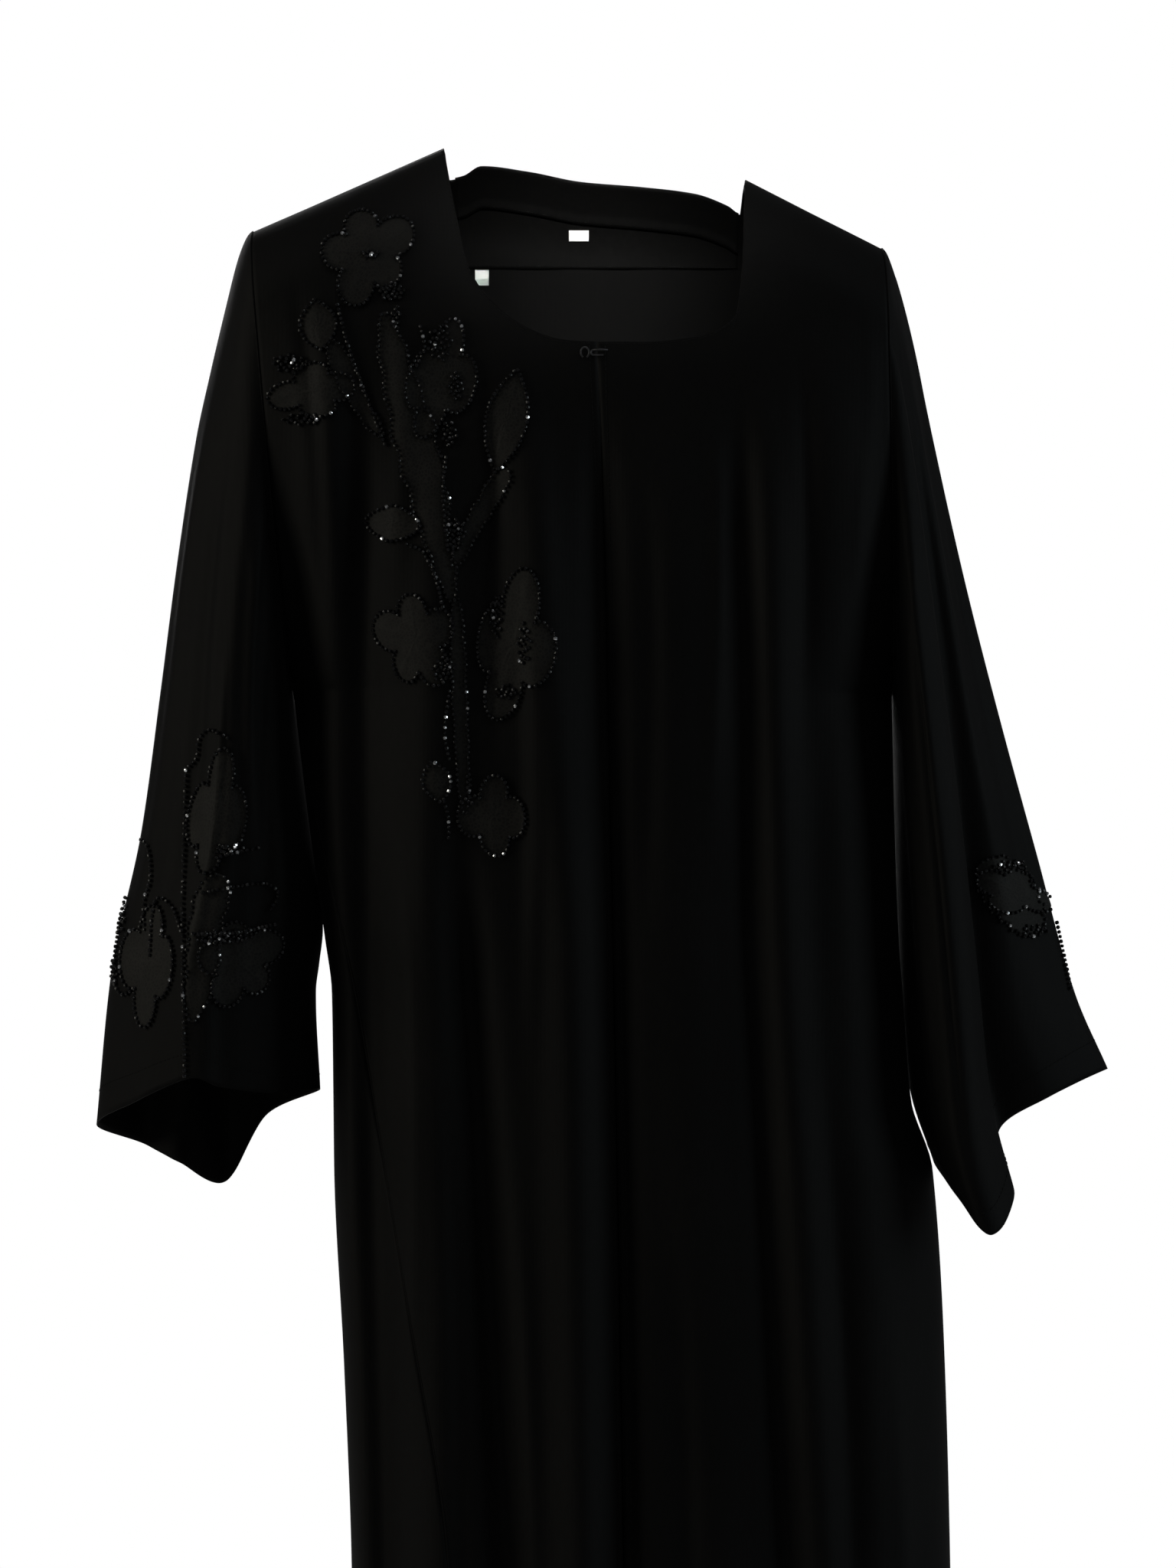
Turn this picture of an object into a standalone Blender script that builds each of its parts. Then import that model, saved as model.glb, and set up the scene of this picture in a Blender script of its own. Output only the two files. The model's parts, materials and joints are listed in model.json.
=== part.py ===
"""A long black abaya that hangs as if filled out: two fronts closed by one hook at
the neck, a back, two wide sleeves, a back neck band with a facing under it, a neck
label, a care tab and applied flowers and leaves. Metres, +Z up, front towards -Y.
The origin lies between the two neck points, where the garment is held."""

from collections import namedtuple
from math import cos, exp, hypot, pi, radians, sin, sqrt

import bmesh
import bpy
from mathutils import Vector
from mathutils.bvhtree import BVHTree

MM = 0.001

# Driving sizes, in millimetres
LENGTH = 1400.0
CLOTH = 1.2
TRIM = 1.0
LABEL_CLOTH = 1.0
SEAM_GAP = 1.0
CENTRE_GAP = 1.6
SIDE_GAP = 1.2
SLEEVE_GAP = 2.0
SHOULDER_ROUND = 55.0
ARMHOLE_DEPTH = 52.0
ARMHOLE_FULL = 0.35
ARMHOLE_HOLD = 10.0
YOKE_HEIGHT = -160.0
WAIST_HEIGHT = -500.0
FOLD_FADE = 130.0
FOLD_AT_TOP = 0.8
FOLD_GROWTH = 0.5
CALM_EDGE = 0.12
CALM_TOP = 1.5

# The shoulder line and the armholes, seen from the front
NECK_LEFT = (-100.0, 10.0)
NECK_RIGHT = (96.5, -10.5)
SHOULDER_LEFT = (-223.5, -44.5)
SHOULDER_RIGHT = (184.5, -55.5)
UNDERARM_LEFT = (-198.0, -343.0)
UNDERARM_RIGHT = (191.5, -345.0)

# Outline and depth of the body at each height
Level = namedtuple("Level", "z left right front back power blunt")
BODY = [
    Level(30.0, -230.0, 181.5, 20.0, 18.0, 5.0, 1.00),
    Level(-45.0, -223.5, 184.3, 50.0, 42.0, 5.0, 1.00),
    Level(-120.0, -217.1, 186.1, 66.0, 58.0, 5.0, 1.00),
    Level(-250.0, -205.9, 189.2, 73.0, 66.0, 4.5, 0.95),
    Level(-343.0, -198.0, 191.5, 75.0, 69.0, 3.8, 0.70),
    Level(-435.0, -187.0, 193.5, 74.0, 70.0, 3.2, 0.45),
    Level(-505.0, -177.0, 196.0, 74.0, 71.0, 2.9, 0.37),
    Level(-540.0, -172.5, 198.5, 74.5, 72.0, 2.8, 0.36),
    Level(-610.0, -171.5, 204.0, 76.0, 74.0, 2.8, 0.36),
    Level(-655.0, -171.0, 218.0, 77.0, 75.0, 2.8, 0.36),
    Level(-783.0, -164.5, 226.0, 80.0, 79.0, 2.8, 0.36),
    Level(-917.0, -159.5, 229.5, 83.0, 83.0, 2.8, 0.36),
    Level(-1400.0, -154.0, 236.0, 92.0, 94.0, 2.8, 0.36),
]

# Where the seams lie, as distance across at a height
SIDE_SEAM = [(-343.0, -198.0), (-400.0, -187.5), (-523.0, -158.7), (-642.0, -137.5),
             (-744.0, -119.3), (-888.0, -95.5), (-1400.0, -66.0)]
CENTRE_FRONT = [(-122.0, -0.6), (-206.0, 3.2), (-490.0, 9.5), (-902.0, 16.8), (-1400.0, 25.0)]

# Neck edges, from the left neck point to the right one
FRONT_NECK_LEFT = [NECK_LEFT, (-94.8, -17.6), (-89.0, -46.0), (-82.7, -73.3), (-66.0, -98.0),
                   (-44.0, -114.0), (-21.6, -121.7), (-1.4, -123.0)]
FRONT_NECK_RIGHT = [(0.2, -123.0), (30.0, -123.0), (63.9, -119.7), (82.0, -112.0),
                    (92.1, -97.0), (94.5, -66.0), (94.5, -36.0), NECK_RIGHT]
BACK_NECK = [NECK_LEFT, (-97.6, -7.0), (-88.0, -5.5), (-76.0, 0.0), (-45.0, -3.6), (-11.0, -9.7),
             (30.0, -13.2), (64.0, -17.3), (86.0, -24.5), (94.0, -29.0), NECK_RIGHT]

# Folds: where each starts, where it lies at the waist and at the hem, its spread and height
Fold = namedtuple("Fold", "name z_start x_start x_waist x_hem spread rise")
FRONT_FOLDS = [
    Fold("left ridge", -70.0, -176.0, -170.0, -146.0, 15.0, 7.0),
    Fold("left valley", -120.0, -150.0, -147.0, -122.0, 12.0, -9.0),
    Fold("second ridge", -150.0, -102.0, -108.0, -88.0, 19.0, 8.0),
    Fold("waist valley", -400.0, -92.0, -84.0, -22.0, 13.0, -12.0),
    Fold("neck ridge", -125.0, -47.0, -19.0, 2.0, 16.0, 10.0),
    Fold("centre valley", -128.0, -1.0, 10.0, 25.0, 11.0, -10.0),
    Fold("flat panel", -130.0, 48.0, 52.0, 98.0, 26.0, 5.0),
    Fold("edge valley", -125.0, 90.5, 99.0, 150.0, 10.0, -7.0),
    Fold("right ridge", -130.0, 106.0, 118.0, 176.0, 16.0, 9.0),
    Fold("broad ridge", -100.0, 152.0, 162.0, 204.0, 22.0, 6.0),
]
BACK_FOLDS = [
    Fold("back left valley", -260.0, -128.0, -122.0, -96.0, 16.0, -11.0),
    Fold("back left ridge", -220.0, -84.0, -82.0, -52.0, 20.0, 10.0),
    Fold("back inner valley", -130.0, -38.0, -34.0, -8.0, 15.0, -12.0),
    Fold("back centre ridge", -110.0, 4.0, 12.0, 34.0, 18.0, 11.0),
    Fold("back right valley", -150.0, 52.0, 60.0, 84.0, 15.0, -12.0),
    Fold("back right ridge", -210.0, 98.0, 108.0, 134.0, 20.0, 10.0),
    Fold("back edge valley", -330.0, 140.0, 150.0, 180.0, 15.0, -10.0),
]

# Rows of the body grids below the yoke
BODY_ROWS = [-160.0, -195.0, -230.0, -265.0, -295.0, -320.0, -336.0, -343.0, -352.0, -380.0,
             -420.0, -465.0, -505.0, -540.0, -590.0, -640.0, -690.0, -750.0, -815.0, -880.0,
             -950.0, -1040.0, -1130.0, -1220.0, -1310.0, -LENGTH]
YOKE_ROWS = 6
YOKE_EASE = 1.3
UPRIGHT_SHARE = 0.35
LEAST_WRAP = 0.5
PANEL_COLUMNS = {"front_right": 18, "front_left": 16, "back": 31}

# Each sleeve hangs between an outer and an inner edge, seen from the front
EDGES = {
    "sleeve_right": {
        "outer": [(-223.5, -44.5), (-236.5, -58.0), (-242.0, -80.0), (-244.0, -102.0),
                  (-259.5, -179.0), (-272.0, -261.0), (-283.0, -345.0), (-295.5, -435.0),
                  (-316.0, -532.5), (-325.0, -627.0)],
        "inner": [(-198.0, -343.0), (-194.5, -380.0), (-188.0, -435.0), (-179.0, -500.0),
                  (-184.5, -540.0), (-181.0, -604.0)],
    },
    "sleeve_left": {
        "outer": [(184.5, -55.5), (194.0, -65.0), (199.0, -82.0), (209.0, -138.5),
                  (224.5, -210.0), (242.5, -286.5), (264.0, -370.0), (286.0, -450.5),
                  (311.5, -542.5), (333.0, -591.5)],
        "inner": [(191.5, -345.0), (193.0, -390.0), (197.0, -450.0), (201.0, -520.0),
                  (208.0, -600.0), (221.5, -650.0)],
    },
}

# A ring of each sleeve: place across at the top and at the hem, depth at both, height of the hem
Station = namedtuple("Station", "name top hem top_depth hem_depth hem_z")
RINGS = {
    "sleeve_right": [
        Station("inner", 0.00, 0.00, 0.0, 0.0, -604.0),
        Station("front inner", 0.14, 0.18, -40.0, -45.0, -603.0),
        Station("front", 0.40, 0.40, -58.0, -62.0, -598.0),
        Station("crease", 0.60, 0.54, -56.0, -67.0, -592.0),
        Station("front outer", 0.86, 0.80, -36.0, -42.0, -609.0),
        Station("outer", 1.00, 1.00, 0.0, 0.0, -627.0),
        Station("back outer", 0.86, 0.82, 36.0, 40.0, -643.0),
        Station("back fold", 0.64, 0.65, 52.0, 33.0, -655.0),
        Station("back low", 0.42, 0.46, 56.0, 60.0, -670.0),
        Station("back inner", 0.16, 0.20, 42.0, 48.0, -622.0),
    ],
    "sleeve_left": [
        Station("inner", 0.00, 0.00, 0.0, 0.0, -650.0),
        Station("lobe inner", 0.14, 0.08, -38.0, -48.0, -668.0),
        Station("lobe front", 0.40, 0.25, -58.0, -72.0, -691.0),
        Station("lobe edge", 0.72, 0.40, -50.0, -50.0, -668.0),
        Station("lobe valley", 0.78, 0.34, -34.0, -20.0, -640.0),
        Station("outer front", 0.90, 0.64, -24.0, -18.0, -614.0),
        Station("outer", 1.00, 1.00, 2.0, 14.0, -591.5),
        Station("back outer", 0.84, 0.80, 34.0, 50.0, -606.0),
        Station("back", 0.46, 0.44, 52.0, 66.0, -625.0),
        Station("back inner", 0.14, 0.14, 40.0, 46.0, -645.0),
    ],
}
SLEEVE_ROWS = 17
SLEEVE_STEPS = 2.4
SLEEVE_EASE = 1.15
ARMHOLE_BLEND = 0.16
HEM_BLEND = 0.45

# Flowers and leaves: centre, half width and height, turn in degrees, petals (0 for a leaf), lift
Motif = namedtuple("Motif", "name x z half_width half_height turn petals lift")
FRONT_MOTIFS = [
    Motif("applique_shoulder_flower", -146.0, -67.0, 30.0, 29.0, 12.0, 5, 3.3),
    Motif("applique_bud", -178.0, -112.0, 11.0, 15.0, 10.0, 0, 1.6),
    Motif("applique_wing_leaf", -184.0, -154.0, 25.0, 17.0, 8.0, 3, 2.5),
    Motif("applique_jagged_leaf", -104.0, -158.0, 17.0, 37.0, -18.0, 3, 1.8),
    Motif("applique_spear_leaf", -60.0, -178.0, 11.0, 31.0, -24.0, 0, 1.7),
    Motif("applique_small_flower", -118.0, -309.0, 23.0, 34.0, 4.0, 5, 2.5),
    Motif("applique_twin_leaf", -60.0, -314.0, 26.0, 46.0, -8.0, 4, 2.2),
    Motif("applique_waist_flower", -70.0, -415.0, 19.0, 27.0, 0.0, 5, 1.7),
]
CUFF_MOTIFS = {
    "sleeve_right": Motif("applique_cuff_flower", -225.0, -520.0, 22.0, 23.0, 0.0, 5, 2.5),
    "sleeve_left": Motif("applique_cuff_leaf", 272.0, -474.0, 22.0, 17.0, -24.0, 3, 2.5),
}
PETAL_POINTS = 20
PETAL_DEPTH = 0.24
MOTIF_RINGS = (0.55, 1.0)
RAY_START = -0.5
MOTIF_CLOTH = 1.0

# Neck details
BAND_HEIGHT = 23.5
BAND_REACH = 84.0
FACING_BOTTOM = -62.0
TRIM_COLUMNS = 16
TRIM_ROWS = 3
TRIM_OFFSET = 1.9
LABEL_SIZE = (13.0, 7.0)
LABEL_PLACE = (-12.0, -40.5)
TAB_SIZE = (9.0, 10.0)
TAB_PLACE = (-76.5, -67.5)
LABEL_OFFSET = 3.7
HOOK_WIRE = 1.1
HOOK_TOP = -124.5
HOOK_LIFT = 2.2

# The hook and the eye, from the centre front: across and down, in millimetres
HOOK_ROOT = 7.0
HOOK_RUN = 9.0
HOOK_BOW = 1.6
HOOK_DROP = 4.0
HOOK_BEND = 1.6
HOOK_STEPS = 6
HOOK_RETURN = (3.2, 6.4)
HOOK_DEPTH_AT = 6.0
EYE_PLACE = (-7.5, -5.6)
EYE_SIZE = (2.6, 3.4)
EYE_TURN = (-60.0, 240.0)
EYE_STEPS = 10
EYE_LIFT = 0.4

BLACK_CLOTH = (0.012, 0.012, 0.013, 1.0)
BLACK_TRIM = (0.016, 0.016, 0.017, 1.0)
LACE = (0.045, 0.046, 0.048, 1.0)
WHITE_TAPE = (0.80, 0.80, 0.78, 1.0)
DARK_METAL = (0.10, 0.10, 0.11, 1.0)


def clear_scene():
    for old in list(bpy.data.objects):
        bpy.data.objects.remove(old, do_unlink=True)


def smooth_step(value):
    value = min(1.0, max(0.0, value))
    return value * value * (3.0 - 2.0 * value)


def slopes_of(knots, values):
    """Slopes at the knots that keep the curve from swinging past its values."""
    steps = [(values[i + 1] - values[i]) / (knots[i + 1] - knots[i]) for i in range(len(knots) - 1)]
    slopes = [steps[0]]
    for before, after in zip(steps, steps[1:]):
        if before * after <= 0.0:
            slopes.append(0.0)
        else:
            slopes.append(2.0 * before * after / (before + after))
    slopes.append(steps[-1])
    return slopes


def read_curve(knots, values, place):
    """A smooth value between the knots, which may run up or down."""
    if knots[0] > knots[-1]:
        knots = [-knot for knot in knots]
        place = -place
    place = min(max(place, knots[0]), knots[-1])
    slopes = slopes_of(knots, values)
    i = 0
    while i < len(knots) - 2 and place > knots[i + 1]:
        i += 1
    span = knots[i + 1] - knots[i]
    t = (place - knots[i]) / span
    start = (1.0 + 2.0 * t) * (1.0 - t) ** 2 * values[i] + t * (1.0 - t) ** 2 * span * slopes[i]
    end = t * t * (3.0 - 2.0 * t) * values[i + 1] + t * t * (t - 1.0) * span * slopes[i + 1]
    return start + end


def body_value(column, z):
    return read_curve([row.z for row in BODY], [getattr(row, column) for row in BODY], z)


def seam_place(table, z):
    return read_curve([row[0] for row in table], [row[1] for row in table], z)


def path_lengths(path, upright=1.0):
    """Lengths along a path, where steep stretches may count for less."""
    lengths = [0.0]
    for before, after in zip(path, path[1:]):
        step = hypot(after[0] - before[0], upright * (after[1] - before[1]))
        lengths.append(lengths[-1] + step)
    return lengths


def path_points(path, count):
    """Points along a smooth path through the given points, closer where it runs across."""
    lengths = path_lengths(path, UPRIGHT_SHARE)
    places = [lengths[-1] * i / (count - 1) for i in range(count)]
    across = [read_curve(lengths, [point[0] for point in path], place) for place in places]
    up = [read_curve(lengths, [point[1] for point in path], place) for place in places]
    return list(zip(across, up))


def shoulder_height(x):
    """Height of the shoulder line, carried straight across the neck."""
    line = [SHOULDER_LEFT, NECK_LEFT, NECK_RIGHT, SHOULDER_RIGHT]
    for start, end in zip(line, line[1:]):
        if x <= end[0] or end is line[-1]:
            return start[1] + (end[1] - start[1]) * (x - start[0]) / (end[0] - start[0])


def armhole_depth(z, on_left):
    """How far the armhole edge stands from the middle of the garment."""
    top = SHOULDER_LEFT[1] if on_left else SHOULDER_RIGHT[1]
    bottom = UNDERARM_LEFT[1] if on_left else UNDERARM_RIGHT[1]
    down = (top - z) / (top - bottom)
    if down >= 1.0:
        return 0.0
    if down <= ARMHOLE_FULL:
        return ARMHOLE_DEPTH
    return ARMHOLE_DEPTH * sqrt(1.0 - ((down - ARMHOLE_FULL) / (1.0 - ARMHOLE_FULL)) ** 2)


def edge_depth(z, on_left, share):
    """The armhole's depth, eased inwards so that the underarm leaves no dent in a panel."""
    full = armhole_depth(z, on_left)
    eased = full ** 2 / ARMHOLE_DEPTH
    return eased + (full - eased) * share ** ARMHOLE_HOLD


def fold_height(folds, x, z):
    total = 0.0
    for fold in folds:
        if z >= fold.z_start:
            continue
        if z > WAIST_HEIGHT:
            share = (fold.z_start - z) / (fold.z_start - WAIST_HEIGHT)
            middle = fold.x_start + (fold.x_waist - fold.x_start) * share
        else:
            share = (WAIST_HEIGHT - z) / (WAIST_HEIGHT + LENGTH)
            middle = fold.x_waist + (fold.x_hem - fold.x_waist) * share
        grown = smooth_step((fold.z_start - z) / FOLD_FADE) * (FOLD_AT_TOP - FOLD_GROWTH * z / LENGTH)
        total += fold.rise * grown * exp(-((x - middle) / fold.spread) ** 2)
    return total


def depth_at(x, z, face):
    """Depth of the cloth in front of (face -1) or behind (face 1) the middle plane."""
    left = body_value("left", z)
    right = body_value("right", z)
    share = min(1.0, abs(2.0 * x - left - right) / (right - left))
    edge = edge_depth(z, x < (left + right) / 2.0, share)
    full = body_value("front" if face < 0 else "back", z)
    swell = max(0.0, 1.0 - share ** body_value("power", z)) ** body_value("blunt", z)
    below = (shoulder_height(x) - z) / SHOULDER_ROUND
    rounding = sqrt(max(0.0, 1.0 - (1.0 - min(1.0, max(0.0, below))) ** 2))
    folds = fold_height(FRONT_FOLDS if face < 0 else BACK_FOLDS, x, z)
    calm = smooth_step((1.0 - share) / CALM_EDGE) * smooth_step(below / CALM_TOP)
    return SEAM_GAP / 2.0 + rounding * (edge + (full - edge) * swell) + folds * calm


def body_point(x, z, face):
    return Vector((x, face * depth_at(x, z, face), z))


def body_arc(z, face, count=160):
    """The cloth's line at one height from its left end to its right end."""
    left = body_value("left", z)
    right = body_value("right", z)
    middle = (left + right) / 2.0
    half = (right - left) / 2.0
    return [body_point(middle - half * cos(pi * i / count), z, face) for i in range(count + 1)]


def resample(points, count, start_gap=0.0, end_gap=0.0):
    """Evenly spaced points along a line, less a gap at each end."""
    lengths = [0.0]
    for before, after in zip(points, points[1:]):
        lengths.append(lengths[-1] + (after - before).length)
    first = start_gap
    last = lengths[-1] - end_gap
    result = []
    i = 0
    for k in range(count):
        place = first + (last - first) * k / (count - 1)
        while i < len(lengths) - 2 and lengths[i + 1] < place:
            i += 1
        share = (place - lengths[i]) / max(1e-9, lengths[i + 1] - lengths[i])
        result.append(points[i].lerp(points[i + 1], share))
    return result


def between(points, x_low, x_high):
    """The stretch of a front line whose points lie between two places across."""
    inside = [point for point in points if x_low < point.x < x_high]
    z = points[0].z
    return [body_point(x_low, z, -1)] + inside + [body_point(x_high, z, -1)]


def panel_row(piece, z, count):
    """One row of a body piece below the yoke."""
    front = body_arc(z, -1)
    left = body_value("left", z)
    right = body_value("right", z)
    centre = seam_place(CENTRE_FRONT, z)
    seam = max(left, seam_place(SIDE_SEAM, z)) if z < UNDERARM_LEFT[1] else left
    if piece == "front_right":
        line = front if seam <= left + LEAST_WRAP else between(front, seam, right)
        line = [point for point in line if point.x < centre] + [body_point(centre, z, -1)]
        return resample(line, count, SIDE_GAP, CENTRE_GAP / 2.0)
    if piece == "front_left":
        line = [body_point(centre, z, -1)] + [point for point in front if point.x > centre]
        return resample(line, count, CENTRE_GAP / 2.0, SIDE_GAP)
    line = body_arc(z, 1)
    if seam > left + LEAST_WRAP:
        wrap = [point for point in front if point.x < seam] + [body_point(seam, z, -1)]
        line = list(reversed(wrap))[:-1] + line
        return resample(line, count, 0.0, SIDE_GAP)
    return resample(line, count, SIDE_GAP, SIDE_GAP)


def top_edge(piece, count):
    """The shoulder and neck edge of a body piece."""
    if piece == "front_right":
        shoulder = path_points([SHOULDER_LEFT, NECK_LEFT], 1 + count // 2)
        return shoulder[:-1] + path_points(FRONT_NECK_LEFT, count - len(shoulder) + 1)
    if piece == "front_left":
        neck = path_points(FRONT_NECK_RIGHT, 1 + count // 2)
        return neck[:-1] + path_points([NECK_RIGHT, SHOULDER_RIGHT], count - len(neck) + 1)
    side = 1 + count // 4
    left = path_points([SHOULDER_LEFT, NECK_LEFT], side)
    right = path_points([NECK_RIGHT, SHOULDER_RIGHT], side)
    return left[:-1] + path_points(BACK_NECK, count - 2 * side + 2) + right[1:]


def panel_grid(piece, count):
    """Rows of points of a body piece, from the shoulder to the hem."""
    face = 1 if piece == "back" else -1
    edge = top_edge(piece, count)
    yoke = panel_row(piece, YOKE_HEIGHT, count)
    rows = []
    for i in range(YOKE_ROWS):
        share = (i / YOKE_ROWS) ** YOKE_EASE
        row = []
        for (x, z), low in zip(edge, yoke):
            row.append(body_point(x + (low.x - x) * share, z + (low.z - z) * share, face))
        rows.append(row)
    for z in BODY_ROWS:
        rows.append(panel_row(piece, z, count))
    return rows


def closed_spline(points, share):
    """A point on a smooth closed line through the given points."""
    total = len(points)
    place = (share % 1.0) * total
    i = int(place) % total
    t = place - int(place)
    before, start, end, after = (points[(i + k) % total] for k in (-1, 0, 1, 2))
    return 0.5 * (2.0 * start + (end - before) * t
                  + (2.0 * before - 5.0 * start + 4.0 * end - after) * t * t
                  + (3.0 * start - before - 3.0 * end + after) * t ** 3)


def sleeve_point(name, down, around):
    """A point of a sleeve: down runs from the armhole to the hem, around from the inner edge."""
    edges = EDGES[name]
    stations = RINGS[name]
    outward = -1.0 if name == "sleeve_right" else 1.0
    outer = Vector(path_point(edges["outer"], down))
    inner = Vector(path_point(edges["inner"], down))
    hem_outer = edges["outer"][-1]
    hem_inner = edges["inner"][-1]
    drop = smooth_step((down - HEM_BLEND) / (1.0 - HEM_BLEND))
    ring = []
    for station in stations:
        across = station.top + (station.hem - station.top) * down
        depth = station.top_depth + (station.hem_depth - station.top_depth) * down
        flat = inner + (outer - inner) * across
        level = hem_inner[1] + (hem_outer[1] - hem_inner[1]) * station.hem
        ring.append(Vector((flat.x, depth, flat.y + drop * (station.hem_z - level))))
    point = closed_spline(ring, around)
    across = closed_spline([Vector((station.top, 0.0, 0.0)) for station in stations], around).x
    across = min(1.0, max(0.0, across))
    if down < ARMHOLE_BLEND:
        front = around < stations_middle(stations)
        mouth = armhole_point(name == "sleeve_right", across, front)
        point = mouth.lerp(point, smooth_step(down / ARMHOLE_BLEND))
    return point + Vector((outward * SLEEVE_GAP, 0.0, 0.0))


def stations_middle(stations):
    """Where around the ring the outer edge lies."""
    names = [station.name for station in stations]
    return names.index("outer") / len(names)


def armhole_point(on_left, across, front):
    """A point on the armhole, with across 0 at the underarm and 1 at the shoulder."""
    start = UNDERARM_LEFT if on_left else UNDERARM_RIGHT
    end = SHOULDER_LEFT if on_left else SHOULDER_RIGHT
    x = start[0] + (end[0] - start[0]) * across
    z = start[1] + (end[1] - start[1]) * across
    below = min(1.0, max(0.0, (shoulder_height(x) - z) / SHOULDER_ROUND))
    depth = armhole_depth(z, on_left) * sqrt(1.0 - (1.0 - below) ** 2)
    return Vector((x, -depth if front else depth, z))


def path_point(path, share):
    """One point at a share of a smooth path's length."""
    lengths = path_lengths(path)
    place = lengths[-1] * share
    across = read_curve(lengths, [point[0] for point in path], place)
    return (across, read_curve(lengths, [point[1] for point in path], place))


def sleeve_grid(name):
    columns = round(len(RINGS[name]) * SLEEVE_STEPS)
    rows = []
    for i in range(SLEEVE_ROWS + 1):
        down = (i / SLEEVE_ROWS) ** SLEEVE_EASE
        rows.append([sleeve_point(name, down, k / columns) for k in range(columns)])
    return rows


def material(name, colour, roughness, metallic=0.0):
    made = bpy.data.materials.new(name)
    made.use_nodes = True
    shader = made.node_tree.nodes["Principled BSDF"]
    shader.inputs["Base Color"].default_value = colour
    shader.inputs["Roughness"].default_value = roughness
    shader.inputs["Metallic"].default_value = metallic
    return made


def link(name, mesh, collection, colour, roughness=0.8, metallic=0.0):
    piece = bpy.data.objects.new(name, mesh)
    mesh.materials.append(material(name + "_finish", colour, roughness, metallic))
    collection.objects.link(piece)
    return piece


def cloth_from_rows(name, rows, collection, colour, wall=CLOTH, closed=False, outward=None):
    """A cloth wall through rows of points, half of it on each side of them."""
    mesh = bpy.data.meshes.new(name)
    form = bmesh.new()
    grid = [[form.verts.new(point * MM) for point in row] for row in rows]
    columns = len(rows[0])
    for upper, lower in zip(grid, grid[1:]):
        for k in range(columns if closed else columns - 1):
            after = (k + 1) % columns
            form.faces.new((upper[k], lower[k], lower[after], upper[after]))
    form.normal_update()
    form.faces.ensure_lookup_table()
    middle = len(rows) // 2
    face = form.faces[middle * (columns if closed else columns - 1) + columns // 4]
    if outward is not None and face.normal.dot(outward) < 0.0:
        bmesh.ops.reverse_faces(form, faces=form.faces[:])
    bmesh.ops.triangulate(form, faces=form.faces[:])
    form.to_mesh(mesh)
    form.free()
    mesh.shade_smooth()
    piece = link(name, mesh, collection, colour)
    thicken(piece, wall)
    return piece


def thicken(piece, wall):
    shell = piece.modifiers.new("wall", "SOLIDIFY")
    shell.thickness = wall * MM
    shell.offset = 0.0
    shell.use_even_offset = True
    shell.use_rim = True


def back_inside(x, z, inward):
    """A point moved inwards from the back's cloth, in front of it."""
    step = 1.0
    here = body_point(x, z, 1)
    aside = body_point(x + step, z, 1) - body_point(x - step, z, 1)
    below = body_point(x, z - step, 1) - body_point(x, z + step, 1)
    normal = aside.cross(below).normalized()
    if normal.y > 0.0:
        normal = -normal
    return here + normal * inward


def neck_edge_height(x):
    """Height of the back neck edge at a place across."""
    return read_curve([point[0] for point in BACK_NECK], [point[1] for point in BACK_NECK], x)


def neck_band_rows():
    places = [BAND_REACH * (2.0 * k / TRIM_COLUMNS - 1.0) for k in range(TRIM_COLUMNS + 1)]
    band = []
    facing = []
    for i in range(TRIM_ROWS + 1):
        down = SEAM_GAP + (BAND_HEIGHT - SEAM_GAP) * i / TRIM_ROWS
        band.append([back_inside(x, neck_edge_height(x) - down, TRIM_OFFSET) for x in places])
    for i in range(TRIM_ROWS + 1):
        row = []
        for x in places:
            top = neck_edge_height(x) - BAND_HEIGHT - SEAM_GAP - TRIM / 2.0
            z = top + (FACING_BOTTOM - top) * i / TRIM_ROWS
            row.append(back_inside(x, z, TRIM_OFFSET))
        facing.append(row)
    return band, facing


def flat_label(name, centre, size, offset, collection, colour, columns=5, rows=3):
    grid = []
    for i in range(rows):
        z = centre[1] + size[1] * (0.5 - i / (rows - 1))
        row = []
        for k in range(columns):
            x = centre[0] + size[0] * (k / (columns - 1) - 0.5)
            row.append(back_inside(x, z, offset))
        grid.append(row)
    return cloth_from_rows(name, grid, collection, colour, LABEL_CLOTH)


def motif_reach(motif, angle):
    """Reach from the centre at an angle, as a share of the half size: a pointed leaf or petals."""
    if motif.petals == 0:
        return 2.0 / (abs(cos(angle)) + sqrt(cos(angle) ** 2 + 4.0 * sin(angle) ** 2))
    return 1.0 - PETAL_DEPTH + PETAL_DEPTH * cos(motif.petals * (angle - pi / 2.0))


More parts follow.
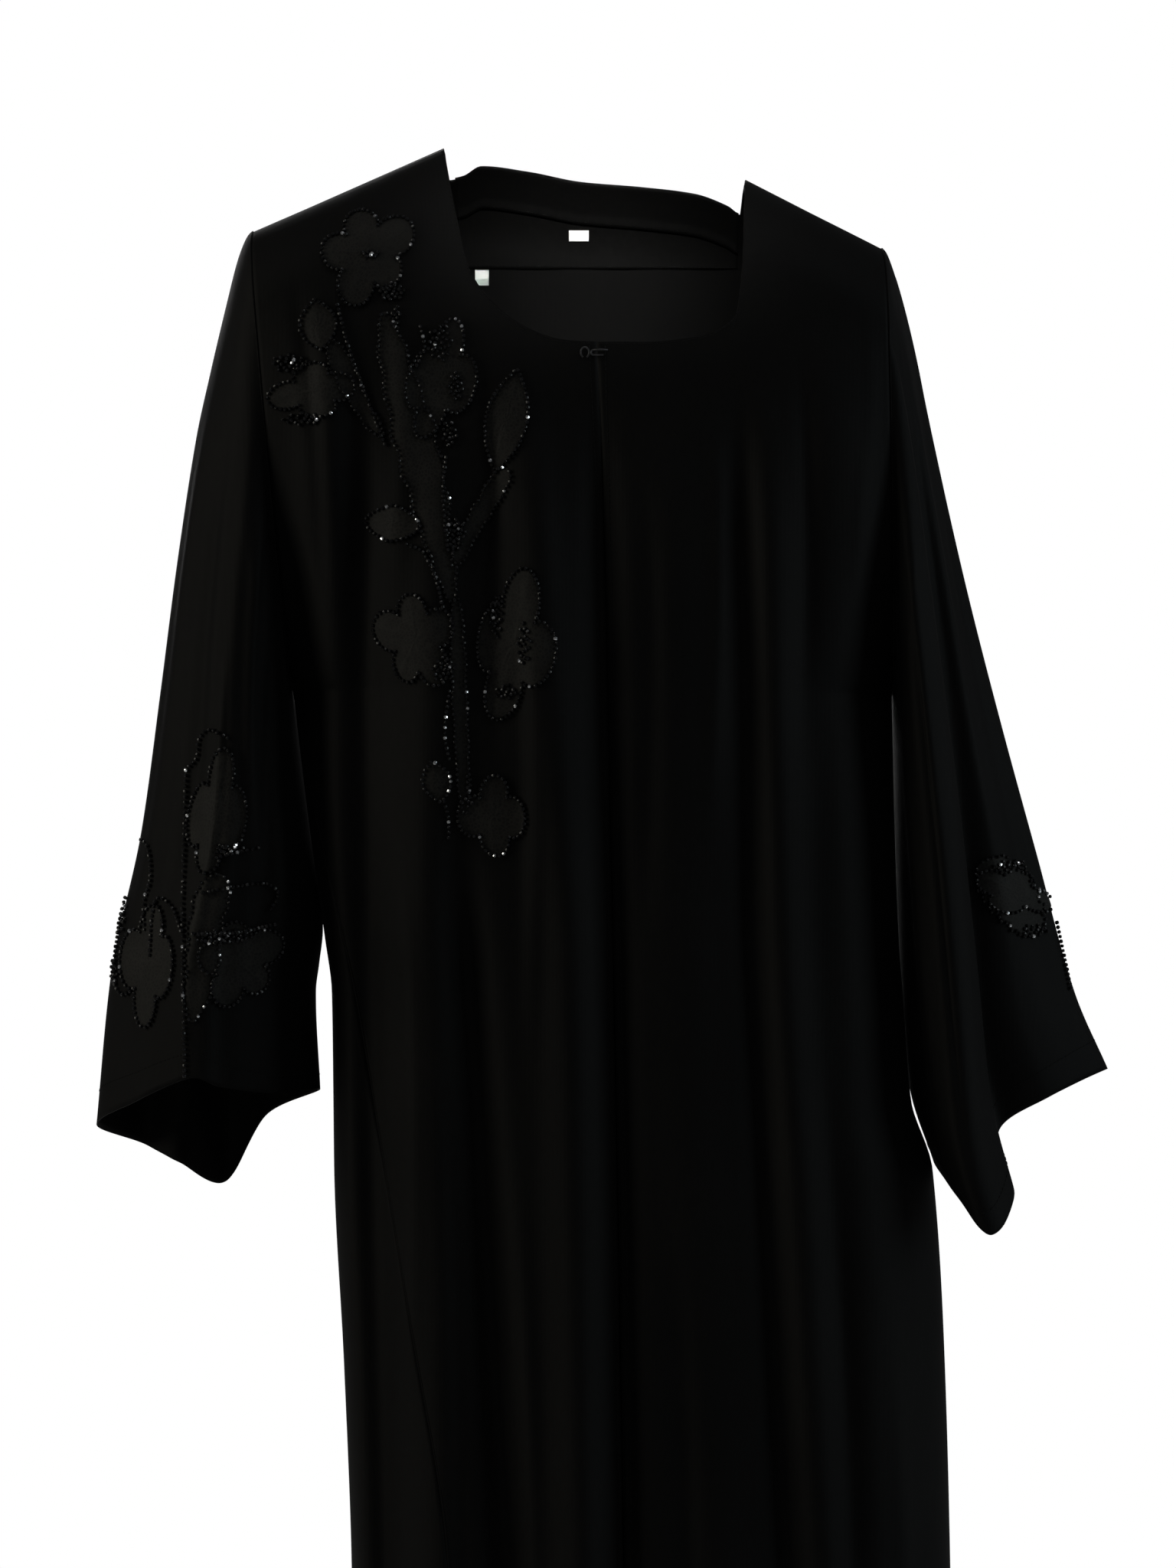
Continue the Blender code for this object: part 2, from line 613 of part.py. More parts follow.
def motif_plate(motif, carrier, collection):
    """A thin plate on a cloth piece, from that piece's own faces moved outwards."""
    ground = carrier_tree(carrier)
    form = bmesh.new()
    turn = radians(motif.turn)

    def place(share, angle):
        reach = motif_reach(motif, angle) * share
        across = motif.half_width * reach * cos(angle)
        up = motif.half_height * reach * sin(angle)
        x = motif.x + across * cos(turn) - up * sin(turn)
        z = motif.z + across * sin(turn) + up * cos(turn)
        start = Vector((x * MM, RAY_START, z * MM))
        hit, normal, _, _ = ground.ray_cast(start, Vector((0.0, 1.0, 0.0)))
        if normal.y > 0.0:
            normal = -normal
        return form.verts.new(hit + normal * motif.lift * MM)

    centre = place(0.0, 0.0)
    rings = []
    for share in MOTIF_RINGS:
        rings.append([place(share, 2.0 * pi * k / PETAL_POINTS) for k in range(PETAL_POINTS)])
    for k in range(PETAL_POINTS):
        after = (k + 1) % PETAL_POINTS
        form.faces.new((centre, rings[0][k], rings[0][after]))
        for inner, outer in zip(rings, rings[1:]):
            form.faces.new((inner[k], outer[k], outer[after], inner[after]))
    mesh = bpy.data.meshes.new(motif.name)
    form.to_mesh(mesh)
    form.free()
    mesh.shade_smooth()
    thicken(link(motif.name, mesh, collection, LACE), MOTIF_CLOTH)


def carrier_tree(carrier):
    mesh = carrier.data
    corners = [vertex.co for vertex in mesh.vertices]
    return BVHTree.FromPolygons(corners, [tuple(face.vertices) for face in mesh.polygons])


def wire(name, points, collection):
    """A short piece of bent wire with closed ends."""
    curve = bpy.data.curves.new(name, "CURVE")
    curve.dimensions = "3D"
    curve.bevel_depth = HOOK_WIRE / 2.0 * MM
    curve.bevel_resolution = 2
    curve.use_fill_caps = True
    spline = curve.splines.new("POLY")
    spline.points.add(len(points) - 1)
    for spot, point in zip(spline.points, points):
        spot.co = (*(point * MM), 1.0)
    piece = bpy.data.objects.new(name, curve)
    curve.materials.append(material(name + "_finish", DARK_METAL, 0.35, 1.0))
    collection.objects.link(piece)


def hook_and_eye(collection):
    """A hook sewn on one front, lying in the eye of the other."""
    middle = seam_place(CENTRE_FRONT, HOOK_TOP)
    front = -depth_at(middle, HOOK_TOP - HOOK_DEPTH_AT, -1) - HOOK_LIFT
    level = HOOK_TOP - HOOK_DROP
    tip = middle + HOOK_ROOT - HOOK_RUN
    hook = []
    for k in range(HOOK_STEPS):
        share = k / (HOOK_STEPS - 1)
        hook.append(Vector((middle + HOOK_ROOT - HOOK_RUN * share,
                            front - HOOK_BOW * sin(pi * share), level)))
    for k in range(1, HOOK_STEPS + 1):
        angle = pi * k / HOOK_STEPS
        hook.append(Vector((tip - HOOK_BEND * sin(angle), front,
                            level - HOOK_BEND * (1.0 - cos(angle)))))
    for along in HOOK_RETURN:
        hook.append(Vector((tip + along, front, level - 2.0 * HOOK_BEND)))
    wire("neck_hook", hook, collection)
    eye = []
    for k in range(EYE_STEPS + 1):
        angle = radians(EYE_TURN[0] + (EYE_TURN[1] - EYE_TURN[0]) * k / EYE_STEPS)
        eye.append(Vector((middle + EYE_PLACE[0] + EYE_SIZE[0] * cos(angle), front + EYE_LIFT,
                           HOOK_TOP + EYE_PLACE[1] + EYE_SIZE[1] * sin(angle))))
    wire("neck_eye", eye, collection)


def build():
    clear_scene()
    collection = bpy.data.collections.new("abaya")
    bpy.context.scene.collection.children.link(collection)
    forward = Vector((0.0, -1.0, 0.0))
    panels = {}
    for name, columns in PANEL_COLUMNS.items():
        panels[name] = cloth_from_rows(name, panel_grid(name, columns), collection, BLACK_CLOTH,
                                       outward=-forward if name == "back" else forward)
    sleeves = {}
    for name in EDGES:
        sleeves[name] = cloth_from_rows(name, sleeve_grid(name), collection, BLACK_CLOTH,
                                        closed=True, outward=forward)
    band, facing = neck_band_rows()
    cloth_from_rows("back_neck_band", band, collection, BLACK_TRIM, TRIM, outward=forward)
    cloth_from_rows("back_neck_facing", facing, collection, BLACK_TRIM, TRIM, outward=forward)
    flat_label("neck_label", LABEL_PLACE, LABEL_SIZE, LABEL_OFFSET, collection, WHITE_TAPE)
    flat_label("care_tab", TAB_PLACE, TAB_SIZE, TRIM_OFFSET, collection, WHITE_TAPE)
    for motif in FRONT_MOTIFS:
        motif_plate(motif, panels["front_right"], collection)
    for name, motif in CUFF_MOTIFS.items():
        motif_plate(motif, sleeves[name], collection)
    hook_and_eye(collection)


build()
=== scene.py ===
# %% [markdown]
# # A black abaya with beaded lace, filled out and hanging
# The construction model gives every piece of this robe at its real size: two fronts,
# a back, two sleeves, the band and facing at the back of the neck, two small labels,
# a hook with its eye, and ten applied flowers and leaves. Here each of them gets its
# cloth, its creases, its stitches and its beads. The first cell loads that model.
# Nothing in it is moved: a finer piece takes the place of each plain one.

# %% Load the construction model
import json
from collections import namedtuple
from functools import lru_cache
from math import cos, exp, hypot, pi, radians, sin, sqrt

import bpy
import numpy as np
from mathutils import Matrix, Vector
from mathutils.bvhtree import BVHTree

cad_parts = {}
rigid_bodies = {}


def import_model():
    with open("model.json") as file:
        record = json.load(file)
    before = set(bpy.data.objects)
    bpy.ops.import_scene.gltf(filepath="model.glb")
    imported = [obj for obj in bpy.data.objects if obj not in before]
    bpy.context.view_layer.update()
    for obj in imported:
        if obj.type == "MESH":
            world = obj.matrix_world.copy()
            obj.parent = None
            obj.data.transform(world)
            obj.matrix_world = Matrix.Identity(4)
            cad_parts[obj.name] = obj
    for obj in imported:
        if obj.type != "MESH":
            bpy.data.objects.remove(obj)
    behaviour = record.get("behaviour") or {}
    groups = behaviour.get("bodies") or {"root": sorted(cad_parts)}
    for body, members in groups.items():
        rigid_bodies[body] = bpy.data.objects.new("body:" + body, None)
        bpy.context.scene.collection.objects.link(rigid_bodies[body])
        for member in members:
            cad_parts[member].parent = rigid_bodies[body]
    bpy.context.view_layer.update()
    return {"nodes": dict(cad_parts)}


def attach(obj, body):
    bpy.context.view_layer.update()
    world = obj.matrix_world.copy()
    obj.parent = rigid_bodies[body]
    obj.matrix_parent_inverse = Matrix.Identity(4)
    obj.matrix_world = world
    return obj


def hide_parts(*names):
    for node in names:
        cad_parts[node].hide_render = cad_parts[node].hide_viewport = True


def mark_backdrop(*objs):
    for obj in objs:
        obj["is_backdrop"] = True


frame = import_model()
print("construction nodes:", len(frame["nodes"]))

# %% [markdown]
# ## The camera
# The photograph looks straight at the robe from a little above its waist, and the lower
# third of the robe is below the picture. A long lens some way off keeps the sides
# upright, where a short lens close by would make them lean.

# %% Camera
MM = 0.001
PIXEL = 0.0005
FRAME_CENTRE = Vector((-0.006, 0.0, -0.4045))
CAMERA_DISTANCE = 2.6
SENSOR = 36.0
PICTURE_ROWS = 2048
FRAME_HEIGHT = PICTURE_ROWS * PIXEL


def new_object(name, data):
    """An object in the scene that shows this data."""
    made = bpy.data.objects.new(name, data)
    bpy.context.collection.objects.link(made)
    return made


def place_camera():
    data = bpy.data.cameras.new("camera")
    data.sensor_fit = "VERTICAL"
    data.sensor_height = SENSOR
    data.lens = SENSOR * CAMERA_DISTANCE / FRAME_HEIGHT
    camera = new_object("camera", data)
    camera.location = FRAME_CENTRE + Vector((0.0, -CAMERA_DISTANCE, 0.0))
    camera.rotation_euler = (radians(90.0), 0.0, 0.0)
    bpy.context.scene.camera = camera
    return camera


camera = place_camera()
print("camera lens, mm:", round(camera.data.lens, 1))

# %% [markdown]
# ## The lamps and the pale room
# Near-black cloth shows its folds only by soft shine. One strong lamp would give small
# hard glints, so most of the light comes from two large windows at the sides, the left
# one stronger. Weak lamps above and behind draw the shoulders, and a narrow one lights
# the back of the neck. The room is white where the camera sees it, and much dimmer
# where it lights the cloth.

# %% Lamps and room
def area_light(name, place, aim, size, power, colour, spread=180.0):
    data = bpy.data.lights.new(name, "AREA")
    data.shape = "RECTANGLE"
    data.size, data.size_y = size
    data.energy = power
    data.color = colour
    data.spread = radians(spread)
    lamp = new_object(name, data)
    lamp.location = place
    lamp.rotation_euler = (Vector(aim) - Vector(place)).to_track_quat("-Z", "Y").to_euler()
    return lamp


LIGHTS = [
    ("window_left", (-2.8, -0.85, 0.4), (-0.05, 0.0, -0.5), (1.0, 2.2), 39.0, (1.0, 0.96, 0.83)),
    ("window_right", (2.9, -0.7, 0.2), (0.1, 0.0, -0.5), (1.0, 2.2), 29.0, (0.86, 0.97, 1.0)),
    ("lamp_above", (0.2, -0.9, 1.9), (0.0, 0.0, -0.3), (1.2, 0.8), 9.0, (1.0, 1.0, 1.0)),
    ("lamp_neck", (0.0, -1.7, 0.62), (0.0, 0.06, -0.05), (0.12, 0.08), 0.13, (1.0, 1.0, 0.97), 7.0),
    ("lamp_behind", (-0.6, 2.4, 0.6), (0.0, 0.0, -0.5), (1.4, 1.6), 20.0, (1.0, 1.0, 1.0)),
]
for row in LIGHTS:
    area_light(*row)

WORLD_LIGHT = 0.10
world = bpy.data.worlds.new("pale_room")
world.use_nodes = True
world.node_tree.nodes["Background"].inputs["Color"].default_value = (1.0, 1.0, 1.0, 1.0)
bpy.context.scene.world = world


def light_the_room():
    """White where the room is seen, softer where it lights the cloth."""
    tree = world.node_tree
    seen = tree.nodes.new("ShaderNodeLightPath")
    choose = tree.nodes.new("ShaderNodeMapRange")
    choose.inputs["To Min"].default_value = WORLD_LIGHT
    choose.inputs["To Max"].default_value = 1.0
    tree.links.new(seen.outputs["Is Camera Ray"], choose.inputs["Value"])
    tree.links.new(choose.outputs["Result"], tree.nodes["Background"].inputs["Strength"])


light_the_room()
bpy.context.scene.view_settings.view_transform = "Standard"
print("lamps:", [row[0] for row in LIGHTS])

# %% [markdown]
# ## The floor
# A pale disc just under the hem catches the shadow in the views from the side. It
# belongs to the stage and isn't a piece of the robe.

# %% Floor
FLOOR_HEIGHT = -1.42
FLOOR_RADIUS = 1.9


def floor_piece():
    bpy.ops.mesh.primitive_circle_add(vertices=96, radius=FLOOR_RADIUS, fill_type="NGON",
                                      location=(0.0, 0.0, FLOOR_HEIGHT))
    disc = bpy.context.object
    disc.name = "floor"
    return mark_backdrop(disc) or disc


floor = floor_piece()
print("floor height, m:", FLOOR_HEIGHT)

# %% [markdown]
# ## Nodes for the finishes
# Every finish is a small tree of nodes. Each of these helpers adds a node or two and
# links them, so that each recipe further on reads as a short list. Positions come from
# the object's own coordinates, which are metres here, so a weave keeps its size.

# %% Helpers for the finishes
def add(tree, kind, **settings):
    node = tree.nodes.new("ShaderNode" + kind)
    for key, value in settings.items():
        if key in node.inputs:
            node.inputs[key].default_value = value
        else:
            setattr(node, key, value)
    return node


def new_finish(name, **constants):
    made = bpy.data.materials.new(name)
    made.use_nodes = True
    shader = made.node_tree.nodes["Principled BSDF"]
    for key, value in constants.items():
        shader.inputs[key.replace("_", " ")].default_value = value
    place = add(made.node_tree, "TexCoord")
    return made, made.node_tree, shader, place.outputs["Object"]


def ramp(tree, source, low, high, start, end):
    node = add(tree, "ValToRGB")
    node.color_ramp.elements[0].position = low
    node.color_ramp.elements[1].position = high
    node.color_ramp.elements[0].color = (*start, 1.0)
    node.color_ramp.elements[1].color = (*end, 1.0)
    tree.links.new(source, node.inputs["Fac"])
    return node.outputs["Color"]


def blend(tree, way, first, second, amount):
    node = add(tree, "MixRGB", blend_type=way, Fac=amount)
    tree.links.new(first, node.inputs["Color1"])
    tree.links.new(second, node.inputs["Color2"])
    return node.outputs["Color"]


def scaled(tree, place, sizes):
    node = add(tree, "Mapping", Scale=sizes)
    tree.links.new(place, node.inputs["Vector"])
    return node.outputs["Vector"]


def noise(tree, place, size, detail=3.0):
    node = add(tree, "TexNoise", Scale=size, Detail=detail)
    tree.links.new(place, node.inputs["Vector"])
    return node.outputs["Fac"]


def bands(tree, place, direction, size, distortion=0.0):
    node = add(tree, "TexWave", Scale=size, Distortion=distortion, bands_direction=direction)
    tree.links.new(place, node.inputs["Vector"])
    return node.outputs["Fac"]


def raise_bump(tree, shader, height, strength, distance):
    node = add(tree, "Bump", Strength=strength, Distance=distance)
    tree.links.new(height, node.inputs["Height"])
    tree.links.new(node.outputs["Normal"], shader.inputs["Normal"])


def uneven_colour(tree, shader, place, size, detail, edges, dark, light):
    """A base colour that drifts between two shades."""
    shade = ramp(tree, noise(tree, place, size, detail), *edges, dark, light)
    tree.links.new(shade, shader.inputs["Base Color"])


def uneven_roughness(tree, shader, place, size, least, most):
    """A roughness that drifts between two values."""
    rough = add(tree, "MapRange")
    rough.inputs["To Min"].default_value = least
    rough.inputs["To Max"].default_value = most
    tree.links.new(noise(tree, place, size), rough.inputs["Value"])
    tree.links.new(rough.outputs["Result"], shader.inputs["Roughness"])


print("ways to build a finish are ready")

# %% [markdown]
# ## Crepe, the cloth of the robe
# Crepe is woven from over-twisted yarn, which gives a fine grainy face with hardly any
# shine. It could be made with a picture of the weave, but two crossing bands with
# grainy noise are sharper from near and cost nothing. A weak sheen stands for the short
# fibres that catch the light on the edge of each fold, and a broad noise makes the
# black a little uneven, as dyed cloth is.

# %% Crepe
THREADS = 520.0


def crepe(name, deep, pale, grain=1.0):
    made, tree, shader, place = new_finish(name, Roughness=0.62, Specular_IOR_Level=0.062,
                                           Sheen_Weight=0.009, Sheen_Roughness=0.42,
                                           Sheen_Tint=(0.75, 0.76, 0.80, 1.0))
    broad = noise(tree, place, 9.0, 4.0)
    fine = noise(tree, scaled(tree, place, (1.0, 1.0, 0.35)), 420.0, 2.0)
    cloud = ramp(tree, broad, 0.3, 0.75, deep, pale)
    speck = ramp(tree, fine, 0.35, 0.7, (0.72, 0.72, 0.72), (1.15, 1.15, 1.16))
    colour = blend(tree, "MULTIPLY", cloud, speck, 0.8)
    tree.links.new(colour, shader.inputs["Base Color"])
    across = bands(tree, place, "X", THREADS, 1.2)
    down = bands(tree, place, "Z", THREADS, 1.2)
    weave = blend(tree, "ADD", across, down, 0.5)
    height = blend(tree, "ADD", weave, fine, 0.7)
    raise_bump(tree, shader, height, 0.22 * grain, 0.00035)
    return made


crepe_black = crepe("black_crepe", (0.0010, 0.0010, 0.0010), (0.0021, 0.0020, 0.0019))
crepe_trim = crepe("neck_trim", (0.0014, 0.0014, 0.0013), (0.0028, 0.0027, 0.0026), 0.6)
print("crepe finishes:", crepe_black.name, crepe_trim.name)

# %% [markdown]
# ## Lace and thread
# The lace is a net with filled petals, a shade paler than the crepe. A Voronoi pattern
# drawn by its cell edges gives the net. The thread is dull and black, with fine slanted
# bands for its twist.

# %% Lace and thread
def lace_finish():
    made, tree, shader, place = new_finish("lace_net", Roughness=0.7, Sheen_Weight=0.02,
                                           Specular_IOR_Level=0.12)
    cells = add(tree, "TexVoronoi", feature="DISTANCE_TO_EDGE", Scale=430.0)
    tree.links.new(place, cells.inputs["Vector"])
    net = ramp(tree, cells.outputs["Distance"], 0.04, 0.22, (0.0062, 0.0060, 0.0050),
               (0.0022, 0.0021, 0.0018))
    patch = ramp(tree, noise(tree, place, 55.0, 3.0), 0.35, 0.7, (0.75, 0.75, 0.75),
                 (1.25, 1.25, 1.27))
    colour = blend(tree, "MULTIPLY", net, patch, 0.9)
    tree.links.new(colour, shader.inputs["Base Color"])
    raise_bump(tree, shader, net, 0.5, 0.0006)
    return made


def thread_finish():
    made, tree, shader, place = new_finish("black_thread", Roughness=0.75,
                                           Specular_IOR_Level=0.08)
    uneven_colour(tree, shader, place, 900.0, 2.0, (0.3, 0.8), (0.002, 0.002, 0.002),
                  (0.005, 0.005, 0.005))
    raise_bump(tree, shader, bands(tree, place, "DIAGONAL", 1400.0), 0.4, 0.0002)
    return made


lace = lace_finish()
thread = thread_finish()
print("lace and thread:", lace.name, thread.name)

# %% [markdown]
# ## Tape, wire and beads
# The label tape is a ribbed white satin. The hook is dark plated wire. Most beads are
# black glass with a weak reflection, so that they stay dark on the dark cloth. A few
# are silver-lined and much smoother, which makes the bright sparks.

# %% Tape, wire and beads
def tape_finish():
    made, tree, shader, place = new_finish("white_satin_tape", Roughness=0.42,
                                           Sheen_Weight=0.2)
    uneven_colour(tree, shader, place, 300.0, 2.0, (0.3, 0.7), (0.90, 0.90, 0.885),
                  (0.97, 0.97, 0.955))
    ribs = blend(tree, "ADD", bands(tree, place, "X", 700.0), bands(tree, place, "Z", 420.0), 0.5)
    raise_bump(tree, shader, ribs, 0.35, 0.0003)
    return made


def wire_finish():
    made, tree, shader, place = new_finish("plated_wire", Metallic=1.0)
    uneven_colour(tree, shader, place, 600.0, 3.0, (0.3, 0.7), (0.025, 0.025, 0.026),
                  (0.070, 0.070, 0.074))
    uneven_roughness(tree, shader, place, 900.0, 0.34, 0.50)
    return made


BEAD_SPECULAR = 0.10
BEAD_UNEVEN = 0.1


def bead_finish(name, dark, light, metallic, roughness):
    made, tree, shader, place = new_finish(name, Metallic=metallic, IOR=1.58, Coat_Weight=0.05,
                                           Coat_Roughness=0.08,
                                           Specular_IOR_Level=BEAD_SPECULAR)
    uneven_colour(tree, shader, place, 260.0, 1.0, (0.35, 0.65), dark, light)
    uneven_roughness(tree, shader, place, 500.0, roughness, roughness + BEAD_UNEVEN)
    return made


tape = tape_finish()
plated = wire_finish()
jet = bead_finish("jet_beads", (0.002, 0.002, 0.002), (0.006, 0.006, 0.007), 0.0, 0.22)
bright = bead_finish("silver_lined_beads", (0.30, 0.31, 0.33), (0.75, 0.76, 0.78), 0.9, 0.08)


def paint_floor():
    made, tree, shader, place = new_finish("pale_floor", Roughness=0.7)
    uneven_colour(tree, shader, place, 3.0, 2.0, (0.3, 0.7), (0.80, 0.80, 0.80),
                  (0.84, 0.84, 0.84))
    floor.data.materials.append(made)


paint_floor()
print("finishes made:", len(bpy.data.materials))

# %% [markdown]
# ## The sizes of the cut
# The robe is drawn in millimetres, as a pattern cutter would: the shoulder line, the
# underarm points, the width and depth of the body at a few heights, the neck edges and
# the seams. A smooth curve through each column gives the sizes between the rows. The
# body, its seams and its folds have the values of the construction model, so the finer
# cloth lies on it. The neck edges of the fronts here, and the neck band and the edges
# and cuffs of the sleeves further on, were set anew against the photograph.

# %% Sizes of the cut, in millimetres
LENGTH = 1400.0
SHOULDER_ROUND = 55.0
ARMHOLE_DEPTH = 52.0
ARMHOLE_FULL = 0.35
ARMHOLE_HOLD = 10.0
YOKE_HEIGHT = -160.0
WAIST_HEIGHT = -500.0
FOLD_FADE = 130.0
NECK_LEFT = (-100.0, 10.0)
NECK_RIGHT = (96.5, -10.5)
SHOULDER_LEFT = (-223.5, -44.5)
SHOULDER_RIGHT = (184.5, -55.5)
UNDERARM_LEFT = (-198.0, -343.0)
UNDERARM_RIGHT = (191.5, -345.0)

Level = namedtuple("Level", "z left right front back power blunt")
BODY = [
    Level(30.0, -230.0, 181.5, 20.0, 18.0, 5.0, 1.00),
    Level(-45.0, -223.5, 184.3, 50.0, 42.0, 5.0, 1.00),
    Level(-120.0, -217.1, 186.1, 66.0, 58.0, 5.0, 1.00),
    Level(-250.0, -205.9, 189.2, 73.0, 66.0, 4.5, 0.95),
    Level(-343.0, -198.0, 191.5, 75.0, 69.0, 3.8, 0.70),
    Level(-435.0, -187.0, 193.5, 74.0, 70.0, 3.2, 0.45),
    Level(-505.0, -177.0, 196.0, 74.0, 71.0, 2.9, 0.37),
    Level(-540.0, -172.5, 198.5, 74.5, 72.0, 2.8, 0.36),
    Level(-610.0, -171.5, 204.0, 76.0, 74.0, 2.8, 0.36),
    Level(-655.0, -171.0, 218.0, 77.0, 75.0, 2.8, 0.36),
    Level(-783.0, -164.5, 226.0, 80.0, 79.0, 2.8, 0.36),
    Level(-917.0, -159.5, 229.5, 83.0, 83.0, 2.8, 0.36),
    Level(-1400.0, -154.0, 236.0, 92.0, 94.0, 2.8, 0.36),
]
SIDE_SEAM = [(-343.0, -198.0), (-400.0, -187.5), (-523.0, -158.7), (-642.0, -137.5),
             (-744.0, -119.3), (-888.0, -95.5), (-1400.0, -66.0)]
CENTRE_FRONT = [(-122.0, -0.6), (-206.0, 3.2), (-490.0, 9.5), (-902.0, 16.8), (-1400.0, 25.0)]
FRONT_NECK_LEFT = [NECK_LEFT, (-94.8, -17.6), (-89.0, -46.0), (-82.7, -73.3), (-66.0, -98.0),
                   (-44.0, -114.0), (-21.6, -121.7), (-0.8, -123.0)]
FRONT_NECK_RIGHT = [(-0.4, -123.0), (30.0, -123.0), (63.9, -119.7), (82.0, -112.0),
                    (92.1, -97.0), (94.5, -66.0), (94.5, -36.0), NECK_RIGHT]
BACK_NECK = [NECK_LEFT, (-97.6, -7.0), (-88.0, -5.5), (-76.0, 0.0), (-45.0, -3.6), (-11.0, -9.7),
             (30.0, -13.2), (64.0, -17.3), (86.0, -24.5), (94.0, -29.0), NECK_RIGHT]
print("shoulder to shoulder, mm:", SHOULDER_RIGHT[0] - SHOULDER_LEFT[0])

# %% [markdown]
# ## Folds and creases
# A hanging robe falls in long folds from the points that carry it. Each row of these
# tables is one fold: where it starts, where it lies at the waist and at the hem, how
# wide it spreads and how far it stands out (a valley is negative). The broad folds are
# those of the construction model. The creases are narrower and shallower, placed in
# uneven lengths, and each fades out at both ends.

# %% Fold tables
Fold = namedtuple("Fold", "name z_start x_start x_waist x_hem spread rise")
FRONT_FOLDS = [
    Fold("left ridge", -70.0, -176.0, -170.0, -146.0, 15.0, 7.0),
    Fold("left valley", -120.0, -150.0, -147.0, -122.0, 12.0, -9.0),
    Fold("second ridge", -150.0, -102.0, -108.0, -88.0, 19.0, 8.0),
    Fold("waist valley", -400.0, -92.0, -84.0, -22.0, 13.0, -12.0),
    Fold("neck ridge", -125.0, -47.0, -19.0, 2.0, 16.0, 10.0),
    Fold("centre valley", -128.0, -1.0, 10.0, 25.0, 11.0, -10.0),
    Fold("flat panel", -130.0, 48.0, 52.0, 98.0, 26.0, 5.0),
    Fold("edge valley", -125.0, 90.5, 99.0, 150.0, 10.0, -7.0),
    Fold("right ridge", -130.0, 106.0, 118.0, 176.0, 16.0, 9.0),
    Fold("broad ridge", -100.0, 152.0, 162.0, 204.0, 22.0, 6.0),
]
BACK_FOLDS = [
    Fold("back left valley", -260.0, -128.0, -122.0, -96.0, 16.0, -11.0),
    Fold("back left ridge", -220.0, -84.0, -82.0, -52.0, 20.0, 10.0),
    Fold("back inner valley", -130.0, -38.0, -34.0, -8.0, 15.0, -12.0),
    Fold("back centre ridge", -110.0, 4.0, 12.0, 34.0, 18.0, 11.0),
    Fold("back right valley", -150.0, 52.0, 60.0, 84.0, 15.0, -12.0),
    Fold("back right ridge", -210.0, 98.0, 108.0, 134.0, 20.0, 10.0),
    Fold("back edge valley", -330.0, 140.0, 150.0, 180.0, 15.0, -10.0),
]
Crease = namedtuple("Crease", "x_top z_top x_end z_end spread rise")
FRONT_CREASES = [
    Crease(-196.0, -70.0, -166.0, -330.0, 6.0, -2.6),
    Crease(-130.0, -95.0, -122.0, -300.0, 7.0, 2.0),
    Crease(-74.0, -120.0, -60.0, -420.0, 7.0, -2.6),
    Crease(-48.0, -240.0, -36.0, -620.0, 6.0, 2.2),
    Crease(-128.0, -420.0, -112.0, -860.0, 7.0, 2.6),
    Crease(-102.0, -520.0, -78.0, -1080.0, 6.0, -2.4),
    Crease(-54.0, -600.0, -34.0, -1300.0, 7.0, 2.8),
    Crease(28.0, -180.0, 34.0, -560.0, 8.0, -2.4),
    Crease(72.0, -150.0, 76.0, -470.0, 6.0, 2.0),
    Crease(44.0, -620.0, 70.0, -1330.0, 9.0, -3.2),
    Crease(128.0, -110.0, 134.0, -420.0, 7.0, -2.4),
    Crease(142.0, -560.0, 176.0, -1200.0, 8.0, -3.0),
    Crease(176.0, -90.0, 170.0, -300.0, 7.0, 2.2),
    Crease(186.0, -700.0, 206.0, -1320.0, 7.0, 2.6),
]
BACK_CREASES = [
    Crease(-170.0, -90.0, -150.0, -420.0, 8.0, 2.6),
    Crease(-104.0, -300.0, -92.0, -900.0, 7.0, -2.6),
    Crease(-62.0, -120.0, -58.0, -380.0, 7.0, 2.2),
    Crease(-18.0, -420.0, 6.0, -1250.0, 8.0, 3.0),
    Crease(34.0, -200.0, 40.0, -620.0, 7.0, -2.4),
    Crease(84.0, -260.0, 104.0, -980.0, 7.0, 2.6),
    Crease(126.0, -130.0, 130.0, -520.0, 8.0, -2.4),
    Crease(172.0, -420.0, 196.0, -1280.0, 8.0, 3.0),
]
print("folds:", len(FRONT_FOLDS) + len(BACK_FOLDS),
      "creases:", len(FRONT_CREASES) + len(BACK_CREASES))

# %% [markdown]
# ## Reading the tables
# `read_curve` gives a smooth value between the rows without swinging past them. A plain
# spline would bulge between two close rows, and straight lines would leave corners in
# the outline. The results are kept in a small memory, because thousands of points ask
# for the same height.

# %% Curves through the tables
def slopes_of(knots, values):
    steps = [(values[i + 1] - values[i]) / (knots[i + 1] - knots[i]) for i in range(len(knots) - 1)]
    slopes = [steps[0]]
    for before, after in zip(steps, steps[1:]):
        slopes.append(0.0 if before * after <= 0.0 else 2.0 * before * after / (before + after))
    slopes.append(steps[-1])
    return slopes


def read_curve(knots, values, place):
    if knots[0] > knots[-1]:
        knots = [-knot for knot in knots]
        place = -place
    place = min(max(place, knots[0]), knots[-1])
    slopes = slopes_of(knots, values)
    i = 0
    while i < len(knots) - 2 and place > knots[i + 1]:
        i += 1
    span = knots[i + 1] - knots[i]
    t = (place - knots[i]) / span
    start = (1.0 + 2.0 * t) * (1.0 - t) ** 2 * values[i] + t * (1.0 - t) ** 2 * span * slopes[i]
    end = t * t * (3.0 - 2.0 * t) * values[i + 1] + t * t * (t - 1.0) * span * slopes[i + 1]
    return start + end


@lru_cache(maxsize=None)
def body_value(column, z):
    return read_curve([row.z for row in BODY], [getattr(row, column) for row in BODY], z)


